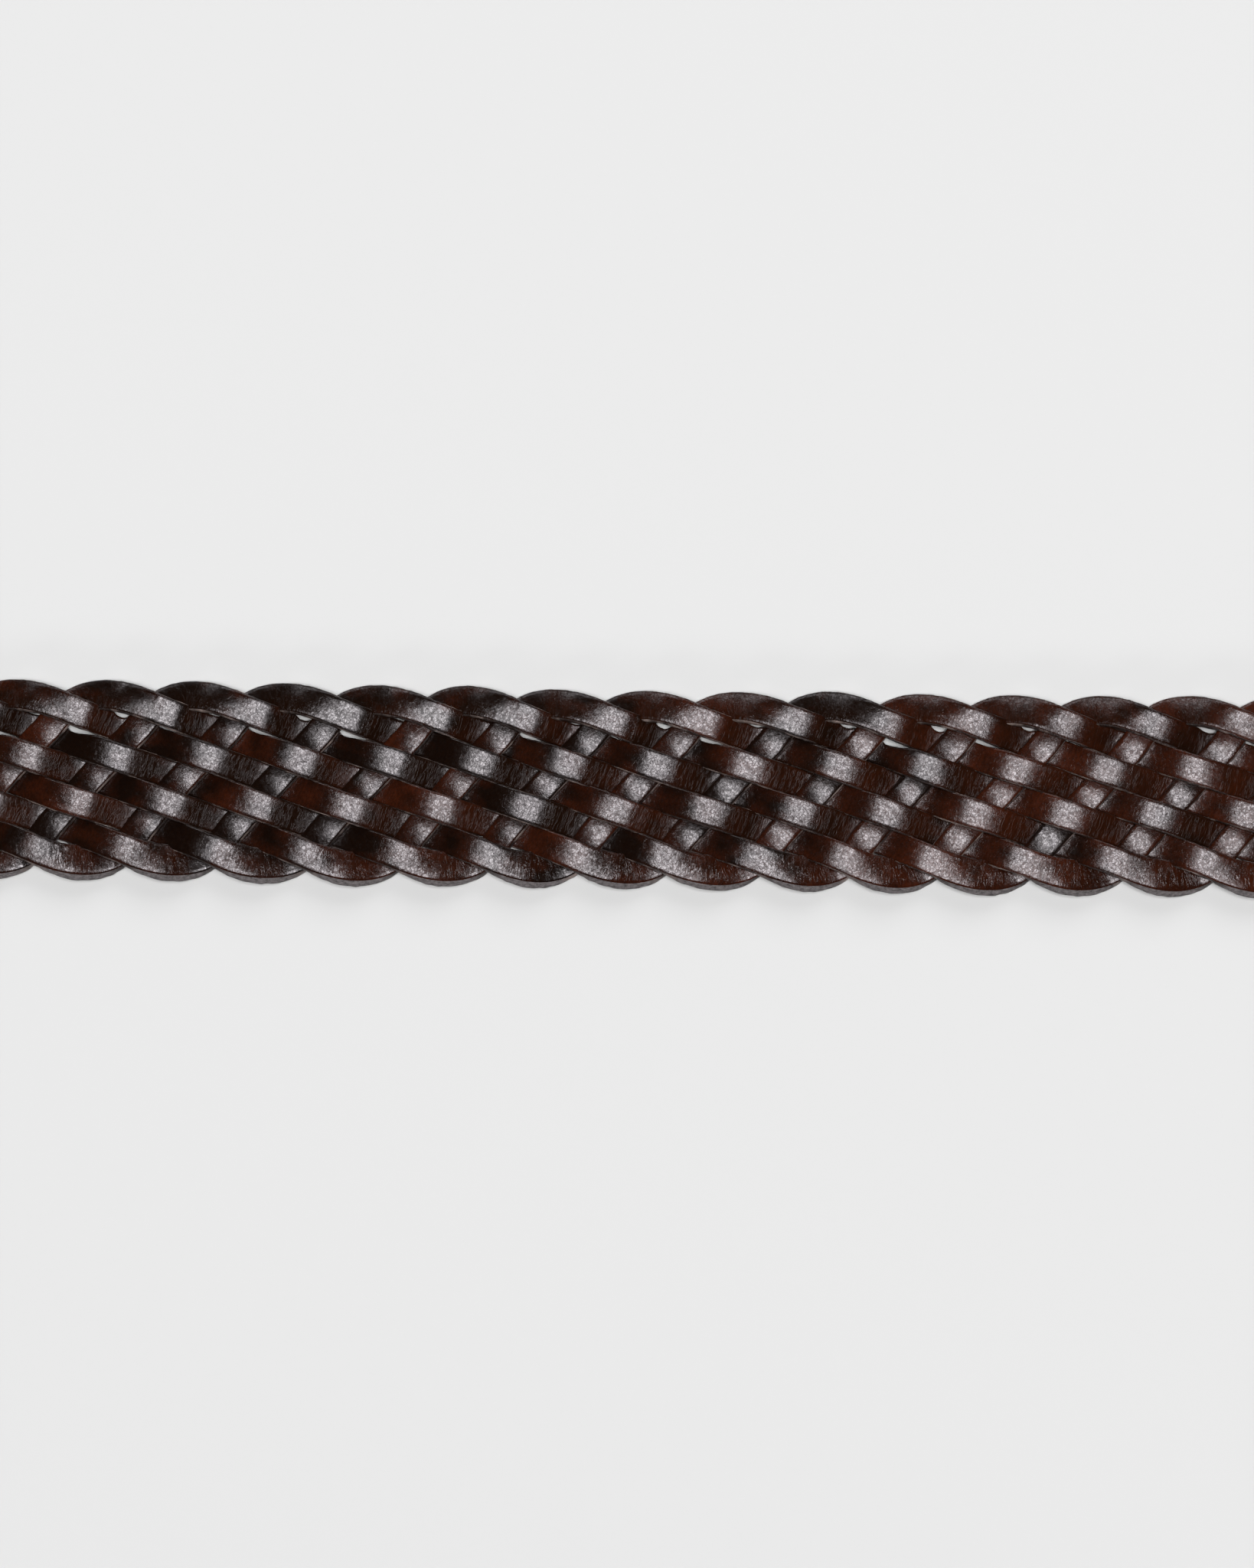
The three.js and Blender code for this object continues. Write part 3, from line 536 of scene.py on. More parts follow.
def grain_relief(line, number, ss, across, share, crinkle):
    """The relief of the grain side: a swelling, lips along the edges, creases and soft dents."""
    half, turn = line["width"][:, None] / 2, line["turn"][:, None]
    dome = (0.05 + 0.11 * line["up"][:, None] + 0.12 * np.abs(turn)) * (1 - share**2)
    lip = 0.045 * np.exp(-(((1 - np.abs(share)) * half - 0.45) / 0.22) ** 2)
    lip *= 0.6 + 0.4 * noise(ss / 3, ss * 0 + number * 2 + np.sign(share), 21)
    ripples = noise(ss / 0.75 + 0.5 * noise(ss / 2, across / 1.2, 22), across / 3.0 + number * 7, 23)
    broad = noise(ss / 2.4, across / 3.5 + number * 5, 24)
    sparse = 0.1 + 1.1 * smoothstep(0.4 + 0.9 * noise(ss / 2.8, across / 1.6 + number * 3, 29)) ** 2
    creasing = crinkle * (-0.06 * sparse * np.abs(ripples) ** 0.8 + 0.05 * broad)
    creasing = creasing * np.where(turn < 0, NEAR_CREASING, 1.0)
    soft = 0.02 * noise(ss / 4, across / 2 + number * 11, 25)
    return dome + lip + creasing + soft


def edge_reach(number, ss, share, height, turn, is_edge):
    """How far the cut edges reach out: frayed, slanting on the right, and flared on the outside of a turn."""
    fray = noise(ss / 0.8, height * 2 + number * 13, 26) * 0.07
    reach = np.where(is_edge, np.sign(share) * fray, 0)
    reach -= np.where(is_edge & (share < -0.9), EDGE_SLANT, 0)
    # Where a strand turns at the near edge its stretched flesh side shows beyond the grain.
    depth = np.clip(0.5 - height / THICKNESS, 0, 1)
    near_turn = np.clip(-turn, 0, 1) + 0.15 * np.clip(turn, 0, 1)
    outer = share * np.sign(turn + 1e-9) > 0.9
    return reach + np.where(outer, np.sign(share) * FLARE * depth * near_turn**0.5, 0)


def add_strand(number, materials):
    """A strand: its section swept along its line, with the leather's relief and ragged edges."""
    line = strand_line(number)
    s, centre = line["s"], line["centre"]
    left, up = directions(centre, line["roll"])
    outline = strand_section()
    kinds = [kind for _, _, kind in outline]
    half = line["width"] / 2
    across = np.stack([half * a + ROUNDING * r for (a, r), _, _ in outline], 1)
    left_side = np.array([max(a, 0.0) for (a, _), _, _ in outline])
    across -= left_side * gaps(line["phase"], number)[:, None]
    height = np.stack([0 * s + THICKNESS / 2 * b + ROUNDING * r for _, (b, r), _ in outline], 1)
    share = across / half[:, None]
    ss = np.repeat(s[:, None], len(outline), 1)
    turn = line["turn"][:, None]
    # A turn is creased on its inner side, which lies towards the middle of the strap.
    inner = np.clip(np.where(turn < 0, 0.8, 0.5) - 0.9 * share * np.sign(turn + 1e-9), 0, 1)
    crinkle = np.repeat(line["crinkle"][:, None], len(outline), 1)
    crinkle = np.where(np.abs(turn) > 0.02, crinkle * inner, crinkle)
    on_top = np.array([1.0 if b == 1 and kind == "grain" else 0.0 for _, (b, _), kind in outline])
    height += on_top * grain_relief(line, number, ss, across, share, crinkle)
    across += edge_reach(number, ss, share, height, turn, np.array([kind == "edge" for kind in kinds]))

    points = centre[:, None, :] + across[..., None] * left[:, None, :] + height[..., None] * up[:, None, :]
    points[..., 2] = np.maximum(points[..., 2], 0.02)  # the strap lies on a flat surface
    face_kinds = [KINDS[kind_between(a, b)] for a, b in zip(kinds, kinds[1:] + kinds[:1])]
    # The texture follows a strand's length and width in millimetres, from a place of its own.
    uv = np.stack([ss + number * 37.0, across + number * 9.0], -1).reshape(-1, 2)
    # The dye varies along a strand and across it. Over the 130 mm of strap in the middle of the view the
    # strands also grow lighter and redder towards the tip.
    tone = 0.45 * noise(ss / 11, ss * 0 + number * 4.7, 27)
    tone = tone + 0.25 * noise(ss / 2.5, across / 2 + number * 3, 28)
    tone = tone - 0.1 + 0.4 * smoothstep((centre[:, :1] + 40) / 130)
    attributes = {
        "tone": tone,
        # The near edge's turns keep their polish between the creases.
        "crinkle": np.clip(crinkle * np.where(turn < 0, 0.5, 1.0), 0, 1),
        # The fine creases are deeper at the turns, most of all at the near edge.
        "crease": crinkle * np.where(turn < 0, 4.0, np.where(turn > 0, 2.0, 1.0)),
        "bare": np.repeat(smoothstep(-2 * turn), len(outline), 1),
    }
    points, quads = points.reshape(-1, 3) * MM, tube_quads(len(s), len(outline))
    material_index = np.tile(face_kinds, len(s) - 1)
    obj = add_mesh(f"plait_strand_{number}", points, quads, materials, material_index, uv, attributes)
    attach(obj, "strap")
    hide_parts(f"strand_{number}")


flesh = flesh_side()
strand_materials = [strand_grain(), raw_edge(), flesh]
for strand in range(1, STRANDS + 1):
    add_strand(strand, strand_materials)


# ---- Leather and metal pieces made from outlines ----


def arc(centre, radius, start, end, steps=8):
    """Points on an arc from a start angle to an end angle, in degrees."""
    angles = np.radians(np.linspace(start, end, steps + 1))
    return np.stack([centre[0] + radius * np.cos(angles), centre[1] + radius * np.sin(angles)], 1)


def path(*pieces):
    """One line through points and rows of points."""
    return np.concatenate([np.atleast_2d(np.asarray(piece, float)) for piece in pieces])


def resample(line, step, closed=False):
    """Points about a step apart along a line."""
    if closed:
        line = np.concatenate([line, line[:1]])
    keep = np.concatenate([[True], np.linalg.norm(np.diff(line, axis=0), axis=1) > 1e-6])
    line = line[keep]
    s = np.concatenate([[0], np.cumsum(np.linalg.norm(np.diff(line, axis=0), axis=1))])
    count = max(3, round(s[-1] / step))
    at = np.linspace(0, s[-1], count + 1)
    if closed:
        at = at[:-1]
    return np.stack([np.interp(at, s, line[:, axis]) for axis in range(line.shape[1])], 1)


def rounded_rectangle(x0, y0, x1, y1, radius):
    return path(
        arc((x1 - radius, y0 + radius), radius, -90, 0),
        arc((x1 - radius, y1 - radius), radius, 0, 90),
        arc((x0 + radius, y1 - radius), radius, 90, 180),
        arc((x0 + radius, y0 + radius), radius, 180, 270),
    )


def distance_to(line, points):
    """The distance from each point in plan to a line."""
    a, b = line[:-1], line[1:]
    ab = b - a
    t = ((points[:, None] - a) * ab).sum(2) / np.maximum((ab**2).sum(1), 1e-12)
    nearest = a + np.clip(t, 0, 1)[..., None] * ab
    return np.linalg.norm(points[:, None] - nearest, axis=2).min(1)


def inside(loops, points):
    """Whether each point lies inside the outer loop and outside the holes."""
    crossings_left = np.zeros(len(points), int)
    for loop in loops:
        a, b = loop, np.roll(loop, -1, axis=0)
        x, y = points[:, :1], points[:, 1:]
        spans = (a[:, 1] > y) != (b[:, 1] > y)
        rise = np.where(b[:, 1] == a[:, 1], 1e-12, b[:, 1] - a[:, 1])
        crossings_left += (spans & (x < a[:, 0] + (y - a[:, 1]) / rise * (b[:, 0] - a[:, 0]))).sum(1)
    return crossings_left % 2 == 1


def fill(loops, spacing):
    """A grid of points inside loops, and triangles over the loops' points and then the grid's."""
    rim = np.concatenate(loops)
    low, high = rim.min(0), rim.max(0)
    grid = np.stack(np.meshgrid(*(np.arange(lo + spacing / 2, hi, spacing) for lo, hi in zip(low, high))), -1)
    grid = grid.reshape(-1, 2)
    near = np.min([distance_to(np.concatenate([loop, loop[:1]]), grid) for loop in loops], axis=0)
    grid = grid[inside(loops, grid) & (near > 0.5 * spacing)]
    edges, first = [], 0
    for loop in loops:
        count = len(loop)
        edges += [(first + i, first + (i + 1) % count) for i in range(count)]
        first += count
    corners = [Vector(corner) for corner in np.concatenate([rim, grid])]
    result = delaunay_2d_cdt(corners, edges, [], 0, 1e-6)
    flat = np.array([tuple(corner) for corner in result[0]])
    source = np.array([origins[0] for origins in result[3]])
    triangles = np.array(result[2])
    triangles = triangles[inside(loops, flat[triangles].mean(1))]
    return grid, source[triangles]


def add_panel(name, loops, thickness, rounding, spacing, place, materials, node, body):
    """A piece of even thickness with rounded edges, from loops in plan that keep the material on their left.

    place takes arrays u, v and w, where w runs from minus to plus half the thickness, and gives the points in
    millimetres. Materials are those of the face at plus w, of the edge and of the face at minus w.
    """
    loops = [resample(loop, spacing, closed=True) for loop in loops]
    turns = np.radians(np.linspace(0, 90, 5))
    upper = [(rounding * (1 - math.sin(a)), thickness / 2 - rounding * (1 - math.cos(a))) for a in turns]
    profile = upper + [(inset, -w) for inset, w in reversed(upper)]

    plan, w, uv, faces, kinds = [], [], [], [], []
    rims = []
    start = 0
    for loop in loops:
        along = np.roll(loop, -1, axis=0) - np.roll(loop, 1, axis=0)
        inward = np.stack([-along[:, 1], along[:, 0]], 1) / np.linalg.norm(along, axis=1)[:, None]
        count = len(loop)
        for inset, height in profile:
            plan.append(loop + inset * inward)
            w.append(np.full(count, height))
            uv.append(loop - (thickness / 2 - height) * inward)
        here = np.arange(count)
        beside = (here + 1) % count
        for ring in range(len(profile) - 1):
            base = start + ring * count
            faces.append(np.stack([base + here, base + count + here, base + count + beside], 1))
            faces.append(np.stack([base + here, base + count + beside, base + beside], 1))
            kinds.append(np.full(2 * count, 1))
        rims.append((start, start + (len(profile) - 1) * count, count))
        start += len(profile) * count

    # Both faces are filled with the same triangles, over the rims and a grid of points between them.
    placed = np.concatenate(plan)
    grid, triangles = fill([placed[first : first + count] for first, _, count in rims], spacing)
    upper_grid = start + np.arange(len(grid))
    top_of = np.concatenate([np.arange(a, a + n) for a, _, n in rims] + [upper_grid])
    bottom_of = np.concatenate([np.arange(b, b + n) for _, b, n in rims] + [upper_grid + len(grid)])
    faces.append(top_of[triangles])
    kinds.append(np.full(len(triangles), 0))
    faces.append(bottom_of[triangles][:, ::-1])
    kinds.append(np.full(len(triangles), 2))
    plan += [grid, grid]
    w += [np.full(len(grid), thickness / 2), np.full(len(grid), -thickness / 2)]
    uv += [grid, grid + 100]

    plan, w = np.concatenate(plan), np.concatenate(w)
    points = place(plan[:, 0], plan[:, 1], w)
    faces, kinds, uv = np.concatenate(faces), np.concatenate(kinds), np.concatenate(uv)
    obj = add_mesh(name, points * MM, faces, materials, kinds, uv)
    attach(obj, body)
    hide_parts(node)


# ---- The buckle end, in millimetres from the middle of the buckle bar ----

STRAP_HALF = 16.0
CHAPE_LEATHER = 1.4
CHAPE_MIDDLE = 2.8  # from the middle of the fold to the middle of the leather
CHAPE_LENGTH = 74.0
CHAPE_CORNER = 5.0
SLOT_HALF = 2.5
SLOT_REACH = 13.0
CHAPE_SKIVE = 9.0  # over this length its end is pared down
CHAPE_SKIVE_SHARE = 0.35  # and by this share of its thickness
SEAM_INSET = 2.6
SEAM_DENT = 0.16
SEAM_SPREAD = 0.75
PLAIT_RELIEF = 0.16  # how high the plait shows through the leather over it
QUARTER = CHAPE_MIDDLE * math.pi / 2  # a quarter turn round the bar, along the middle of the leather


def chape_seam():
    """The seam's line in plan. It runs round the leaf, and is open at the prong's slot."""
    near, far, side, corner = SLOT_REACH + SEAM_INSET, CHAPE_LENGTH - SEAM_INSET, STRAP_HALF - SEAM_INSET, 2.4
    return path(
        (near, 0.9),
        arc((near + corner, side - corner), corner, 180, 90, 4),
        arc((far - corner, side - corner), corner, 90, 0, 4),
        arc((far - corner, corner - side), corner, 0, -90, 4),
        arc((near + corner, corner - side), corner, -90, -180, 4),
        (near, -0.9),
    )


def seam_dent(line, x, y):
    """How deep the stitches have pulled the leather in, near a seam."""
    return SEAM_DENT * np.exp(-((distance_to(line, np.stack([x, y], 1)) / SEAM_SPREAD) ** 2))


def plait_relief(x, y):
    """The plait's pattern as it shows through the leather over it, from 0 to 1. x starts at the bar."""
    row = (ROWS + 1) / 2 - y / ROW_SPACING
    hump = 0.5 + 0.5 * np.cos(2 * math.pi * (x - (row - 1) * DOWN_STEP) / PITCH)
    return hump * np.cos(math.pi * (row - 1) / 2) ** 2


def place_chape(u, v, w):
    """The leather runs forward under the belt, round the bar and back over the plait."""
    turn = np.clip(u / CHAPE_MIDDLE, -math.pi / 2, math.pi / 2)
    away = np.maximum(np.abs(u) - QUARTER, 0)
    over_plait = smoothstep((away - CHAPE_LENGTH + BRAID_TUCK) / 6)
    skived = CHAPE_SKIVE_SHARE * smoothstep((away - CHAPE_LENGTH + CHAPE_SKIVE) / CHAPE_SKIVE)
    outward = np.clip(w / CHAPE_LEATHER + 0.5, 0, 1)
    dent = seam_dent(chape_seam(), away, v)
    relief = PLAIT_RELIEF * over_plait * (plait_relief(away, v) - 0.4) * (u > 0)
    ease = 0.03 * noise(u / 9, v / 7, 31)
    w = w - outward * (skived * CHAPE_LEATHER + dent) + relief + ease
    x = away - (CHAPE_MIDDLE + w) * np.cos(turn)
    z = (CHAPE_MIDDLE + w) * np.sin(turn)
    return np.stack([BAR.x + x, v, BAR.z + z], 1)


def add_chape(materials):
    end = QUARTER + CHAPE_LENGTH
    outline = rounded_rectangle(-end, -STRAP_HALF, end, STRAP_HALF, CHAPE_CORNER)
    slot_end = QUARTER + SLOT_REACH
    slot = rounded_rectangle(-slot_end, -SLOT_HALF, slot_end, SLOT_HALF, SLOT_HALF - 0.05)[::-1]
    add_panel(
        "chape_leather", [outline, slot], CHAPE_LEATHER, 0.45, 0.8, place_chape, materials,
        "chape", "strap",
    )


def rings_round(line, radius, across, other, turn):
    """The points of rings round each point of a line, in the plane of two directions."""
    cos, sin = np.cos(turn)[None, :, None], np.sin(turn)[None, :, None]
    ring = cos * across[:, None, :] + sin * other[:, None, :]
    return (line[:, None, :] + radius[:, None, None] * ring).reshape(-1, 3)


STITCH = 3.3  # from hole to hole
STITCH_RADIUS = 0.36
STITCH_SLANT = 0.16  # a thread lies a little askew between its holes
STITCH_ARCH = 0.30  # how far a stitch's middle stands out over its ends
STITCH_SUNK = 0.28  # how deep its ends lie in the leather


def add_stitches(name, line, height, upward, node, material):
    """A row of stitches along a line in plan, on a surface whose height depends on the place.

    upward is 1 on an upper surface and -1 on a lower one.
    """
    line = resample(line, 0.2)
    s = np.arange(len(line)) * np.linalg.norm(line[1] - line[0])
    count = int(s[-1] / STITCH)
    pitch = s[-1] / count
    rings, sides = 11, 10
    t = np.linspace(0, 1, rings)
    rise = STITCH_ARCH * np.sin(math.pi * t) ** 0.7 - STITCH_SUNK
    radius = STITCH_RADIUS * (0.62 + 0.38 * np.sin(math.pi * t) ** 0.5)
    turn = np.linspace(0, 2 * math.pi, sides, endpoint=False)
    points, faces, uv = [], [], []
    for stitch in range(count):
        at = (stitch + 0.04 + 0.92 * t) * pitch
        x, y = np.interp(at, s, line[:, 0]), np.interp(at, s, line[:, 1])
        along = np.stack([np.gradient(x), np.gradient(y)], 1)
        along /= np.linalg.norm(along, axis=1)[:, None]
        side = np.stack([-along[:, 1], along[:, 0]], 1)
        plan = np.stack([x, y], 1) + STITCH_SLANT * (t - 0.5)[:, None] * side
        middle = np.concatenate([plan, (height(x, y) + upward * rise)[:, None]], 1)
        across = np.concatenate([side, np.zeros((rings, 1))], 1)
        points.append(rings_round(middle, radius, across, np.array([[0, 0, 1.0]]), turn))
        # The rings run the other way round here, so the faces are turned over.
        faces.append(stitch * rings * sides + np.roll(tube_quads(rings, sides)[:, ::-1], 1, axis=1))
        round_thread = STITCH_RADIUS * turn[None, :]
        uv.append(np.stack(np.broadcast_arrays(at[:, None], round_thread), -1).reshape(-1, 2))
    points = np.concatenate(points) * MM
    obj = add_mesh(name, points, np.concatenate(faces), [material], None, np.concatenate(uv))
    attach(obj, "strap")
    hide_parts(node)


PACKING_REACH = 0.5  # by which the packing reaches out beyond its CAD box, to meet the leather round it


def add_chape_packing(material):
    """A block between the chape's leaves, with softly cut edges."""
    low, high = (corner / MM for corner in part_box("chape_filler"))
    middle, reach = (low + high) / 2, PACKING_REACH
    outline = rounded_rectangle(low.x - reach, low.y - reach, high.x + reach, high.y + reach, 0.6)

    def place(u, v, w):
        return np.stack([u, v, middle.z + w], 1)

    add_panel(
        "chape_packing", [outline], high.z - low.z, 0.3, 1.5, place, [material] * 3,
        "chape_filler", "strap",
    )


# ---- The keeper ----

KEEPER_LEATHER = 1.4
KEEPER_BEND = 1.7  # radius of its corners, to the middle of the leather
KEEPER_CROWN = 0.11  # how far the strip bulges outward along its middle, except underneath
STAPLE_BEND = 0.45


def add_keeper(materials, steel):
    """The keeper's strip, bent into a loop whose ends meet underneath, and the staple that joins them."""
    low, high = (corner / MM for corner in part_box("keeper_loop"))
    half, top = high.y - KEEPER_LEATHER / 2, high.z - KEEPER_LEATHER / 2
    bottom, bend = low.z + KEEPER_LEATHER / 2, KEEPER_BEND
    middle_x, width = (low.x + high.x) / 2, high.x - low.x
    ring = path(
        (0.15, bottom),
        arc((half - bend, bottom + bend), bend, -90, 0),
        arc((half - bend, top - bend), bend, 0, 90),
        arc((bend - half, top - bend), bend, 90, 180),
        arc((bend - half, bottom + bend), bend, 180, 270),
        (-0.15, bottom),
    )
    ring = resample(ring, 0.3)
    s = np.concatenate([[0], np.cumsum(np.linalg.norm(np.diff(ring, axis=0), axis=1))])
    tangent = np.gradient(ring, axis=0)
    tangent /= np.linalg.norm(tangent, axis=1)[:, None]

    def place(u, v, w):
        y, z = np.interp(u, s, ring[:, 0]), np.interp(u, s, ring[:, 1])
        ty, tz = np.interp(u, s, tangent[:, 0]), np.interp(u, s, tangent[:, 1])
        from_middle = (v / (width / 2)) ** 2
        crowned = KEEPER_CROWN * (1 - from_middle) * (z > bottom + 2)
        w = w * (1 - 0.12 * from_middle) + crowned
        return np.stack([middle_x + v, y + tz * w, z - ty * w], 1)

    outline = rounded_rectangle(0, -width / 2, s[-1], width / 2, 0.8)
    add_panel(
        "keeper_strip", [outline], KEEPER_LEATHER, 0.4, 0.7, place, materials,
        "keeper_loop", "keeper",
    )

    low, high = (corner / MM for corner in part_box("keeper_staple"))
    wire = (high.x - low.x) / 2
    side, crown, bend = high.y - wire, high.z - wire, STAPLE_BEND
    line = path(
        (-side, low.z),
        arc((bend - side, crown - bend), bend, 180, 90, 5),
        arc((side - bend, crown - bend), bend, 90, 0, 5),
        (side, low.z),
    )
    line = resample(line, 0.15)
    line = np.stack([np.full(len(line), (low.x + high.x) / 2), line[:, 0], line[:, 1]], 1)
    add_rod("keeper_staple_wire", line, wire, steel, "keeper_staple", "keeper")


def add_rod(name, line, radius, material, node, body, sides=16):
    """A round rod or wire along a line, with flat ends. radius is one number or one for each point."""
    tangent = np.gradient(line, axis=0)
    tangent /= np.linalg.norm(tangent, axis=1)[:, None]
    reference = np.array([1.0, 0, 0]) if abs(tangent[0, 0]) < 0.5 else np.array([0, 0, 1.0])
    across = np.cross(tangent, reference)
    across /= np.linalg.norm(across, axis=1)[:, None]
    other = np.cross(tangent, across)
    turn = np.linspace(0, 2 * math.pi, sides, endpoint=False)
    radius = np.broadcast_to(np.asarray(radius, float), len(line))
    points = rings_round(line, radius, across, other, turn)
    quads = tube_quads(len(line), sides)
    last = len(points)
    points = np.concatenate([points, line[:1], line[-1:]])
    first_ring, last_ring = np.arange(sides), last - sides + np.arange(sides)
    cap = np.full(sides, last)
    caps = np.concatenate([
        np.stack([cap, np.roll(first_ring, -1), first_ring], 1),
        np.stack([cap + 1, last_ring, np.roll(last_ring, -1)], 1),
    ])
    triangles = np.concatenate([quads[:, [0, 1, 2]], quads[:, [0, 2, 3]], caps])
    uv = points[:, [1, 2]] + points[:, :1]
    obj = add_mesh(name, points * MM, triangles, [material], None, uv)
    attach(obj, body)
    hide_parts(node)


# ---- The buckle, before it is tilted to rest on the surface ----

FRAME_LENGTH = 30.0
FRAME_THICKNESS = 4.6
FRAME_HALF = 21.5
FRAME_INNER_HALF = 17.0
FRAME_FRONT = 5.2
FRAME_EYE = 3.2
FRAME_CORNER = 8.0
FRAME_INNER_CORNER = 2.0
NOTCH_DEPTH = 1.0
NOTCH_HALF = 2.0
PRONG_WIDTH = 2.8
PRONG_RING = 2.9
PRONG_EYE = 1.45
PRONG_REACH = 30.6
PRONG_TOP = 3.4
PRONG_ROOT = 0.9
PRONG_REST = 1.6
PRONG_NOSE = 0.7
PRONG_TAPER = 0.24  # share of its width that the prong loses towards its end
PIN_RADIUS = 1.3
PIN_PROUD = 0.05
PIN_CHAMFER = 0.25
FRAME_TILT = math.asin((BAR.z - FRAME_THICKNESS / 2) / FRAME_LENGTH)


def tilted(x, y, z):
    """Places points of the buckle, given from the bar."""
    cos, sin = math.cos(FRAME_TILT), math.sin(FRAME_TILT)
    return np.stack([BAR.x + x * cos - z * sin, y, BAR.z + x * sin + z * cos], 1)


def place_frame(u, v, w):
    """The frame lies flat, and its front bar has a notch on top for the prong."""
    notch = smoothstep((NOTCH_HALF + 0.5 - np.abs(v)) / 1.0) * (u < -FRAME_LENGTH / 2)
    w = w - NOTCH_DEPTH * notch * np.clip(w / (FRAME_THICKNESS / 2), 0, 1)
    return tilted(u, v, w)


def place_prong(u, v, w):
    """The prong is drawn from the side, so that v is its height and w lies across it."""
    narrow = 1 - PRONG_TAPER * smoothstep((-u - PRONG_RING) / (PRONG_REACH - PRONG_RING))
    return tilted(u, -w * narrow, v)


def add_buckle(brass, steel):
    eye = (FRAME_HALF - FRAME_INNER_HALF) / 2
    eye_x, eye_y = FRAME_EYE - eye, FRAME_HALF - eye
    front, inside_front = -FRAME_LENGTH, -FRAME_LENGTH + FRAME_FRONT
    corner, inner = FRAME_CORNER, FRAME_INNER_CORNER
    outline = path(
        arc((eye_x, -eye_y), eye, -90, 90, 12),
        arc((inside_front + inner, -FRAME_INNER_HALF + inner), inner, -90, -180),
        arc((inside_front + inner, FRAME_INNER_HALF - inner), inner, 180, 90),
        arc((eye_x, eye_y), eye, -90, 90, 12),
        arc((front + corner, FRAME_HALF - corner), corner, 90, 180, 12),
        arc((front + corner, corner - FRAME_HALF), corner, 180, 270, 12),
    )
    add_panel(
        "buckle_casting", [outline], FRAME_THICKNESS, 1.6, 0.6, place_frame, [brass] * 3,
        "buckle_frame", "buckle",
    )

    root = math.degrees(math.asin(PRONG_ROOT / PRONG_RING))
    nose = PRONG_NOSE
    bend = np.linspace(0, 1, 9)[:, None]
    bend_start = np.array([[inside_front, PRONG_TOP]])
    bend_corner = np.array([[-PRONG_REACH, PRONG_TOP]])
    bend_end = np.array([[-PRONG_REACH, PRONG_REST + nose]])
    side = path(
        (0, PRONG_RING),
        (1 - bend) ** 2 * bend_start + 2 * bend * (1 - bend) * bend_corner + bend**2 * bend_end,
        arc((-PRONG_REACH + nose, PRONG_REST + nose), nose, 180, 270)[1:],
        arc((0, 0), PRONG_RING, 180 - root, 450, 24)[:-1],
    )
    eye_hole = arc((0, 0), PRONG_EYE, 360, 0, 24)[:-1]
    add_panel(
        "prong_tongue", [side, eye_hole], PRONG_WIDTH, 0.5, 0.35, place_prong, [brass] * 3,
        "prong", "prong",
    )

    # The pin stands out of the frame a little, and its ends are chamfered.
    reach, chamfer = FRAME_HALF + PIN_PROUD, PIN_CHAMFER
    along = np.array([-reach, 0.01 - reach, chamfer - reach, reach - chamfer, reach - 0.01, reach])
    line = np.stack([np.full(6, BAR.x), along, np.full(6, BAR.z)], 1)
    radius = PIN_RADIUS - np.array([0.3, chamfer, 0, 0, chamfer, 0.3])
    add_rod("buckle_pin", line, radius, steel, "buckle_bar", "buckle", sides=32)


# ---- The tip, in millimetres from the buckle bar ----

STRAP_LENGTH = 1000.0
TAB_LENGTH = 88.0
TAB_LEATHER = 1.3
TAB_POINT = 24.0
TAB_TAPER = 24.0
TAB_CORE = 1.0  # thickness of the packing near the tip
TAB_SKIVE = 0.45  # by which its front leaf is pared down at the start
TAB_SKIVE_LENGTH = 8.0
TAB_GROOVE = 0.42  # height of the seam in the groove under the tip
TAB_BEGIN = STRAP_LENGTH - TAB_LENGTH
CORE_BEGIN = TAB_BEGIN + BRAID_TUCK + 2.15  # where the plait ends and the packing starts


def tip_outline(inset):
    """The outline of a leaf, or a line that runs inside it at a distance."""
    start, side = TAB_BEGIN + inset, STRAP_HALF - inset
    point, reach = STRAP_LENGTH - TAB_POINT, TAB_POINT - inset
    turn = np.radians(np.linspace(-90, 90, 41))
    nose = np.stack([point + reach * np.cos(turn), side * np.sin(turn)], 1)
    corner = max(0.4, 2.0 - inset)
    return path(
        arc((start + corner, corner - side), corner, 180, 270, 4),
        nose,
        arc((start + corner, side - corner), corner, 90, 180, 4),
    )


def tip_seam():
    """The seam's line in plan, which is open where the plait goes in."""
    outline = tip_outline(SEAM_INSET)
    return outline[outline[:, 0] > TAB_BEGIN + SEAM_INSET + 0.1]


def under_front_leaf(x, y):
    """The front leaf's lower face: over the plait, then down to the packing, and drawn in at its rim."""
    over_braid = TAB_LEATHER + 2 * LEAF_GAP + CAD_BRAID
    over_core = TAB_LEATHER + 2 * LEAF_GAP + TAB_CORE
    height = mix(over_braid, over_core, smoothstep((x - CORE_BEGIN) / TAB_TAPER))
    outline = tip_outline(0)
    rim = 1 - smoothstep(distance_to(np.concatenate([outline, outline[:1]]), np.stack([x, y], 1)) / 3.5)
    share = mix(0.12, 0.85, smoothstep((x - CORE_BEGIN) / (TAB_TAPER / 2)))
    return height - rim * share * (height - TAB_LEATHER - LEAF_GAP)


def place_front_leaf(u, v, w):
    up = np.clip(w / TAB_LEATHER + 0.5, 0, 1)
    over_plait = 1 - smoothstep((u - TAB_BEGIN - BRAID_TUCK) / 6)
    relief = PLAIT_RELIEF * over_plait * (plait_relief(u, v) - 0.4)
    skived = TAB_SKIVE * smoothstep((TAB_BEGIN + TAB_SKIVE_LENGTH - u) / TAB_SKIVE_LENGTH)
    z = under_front_leaf(u, v) + TAB_LEATHER / 2 + w - up * (seam_dent(tip_seam(), u, v) + skived)
    return np.stack([BAR.x + u, v, z + relief + 0.03 * noise(u / 9, v / 7, 32)], 1)


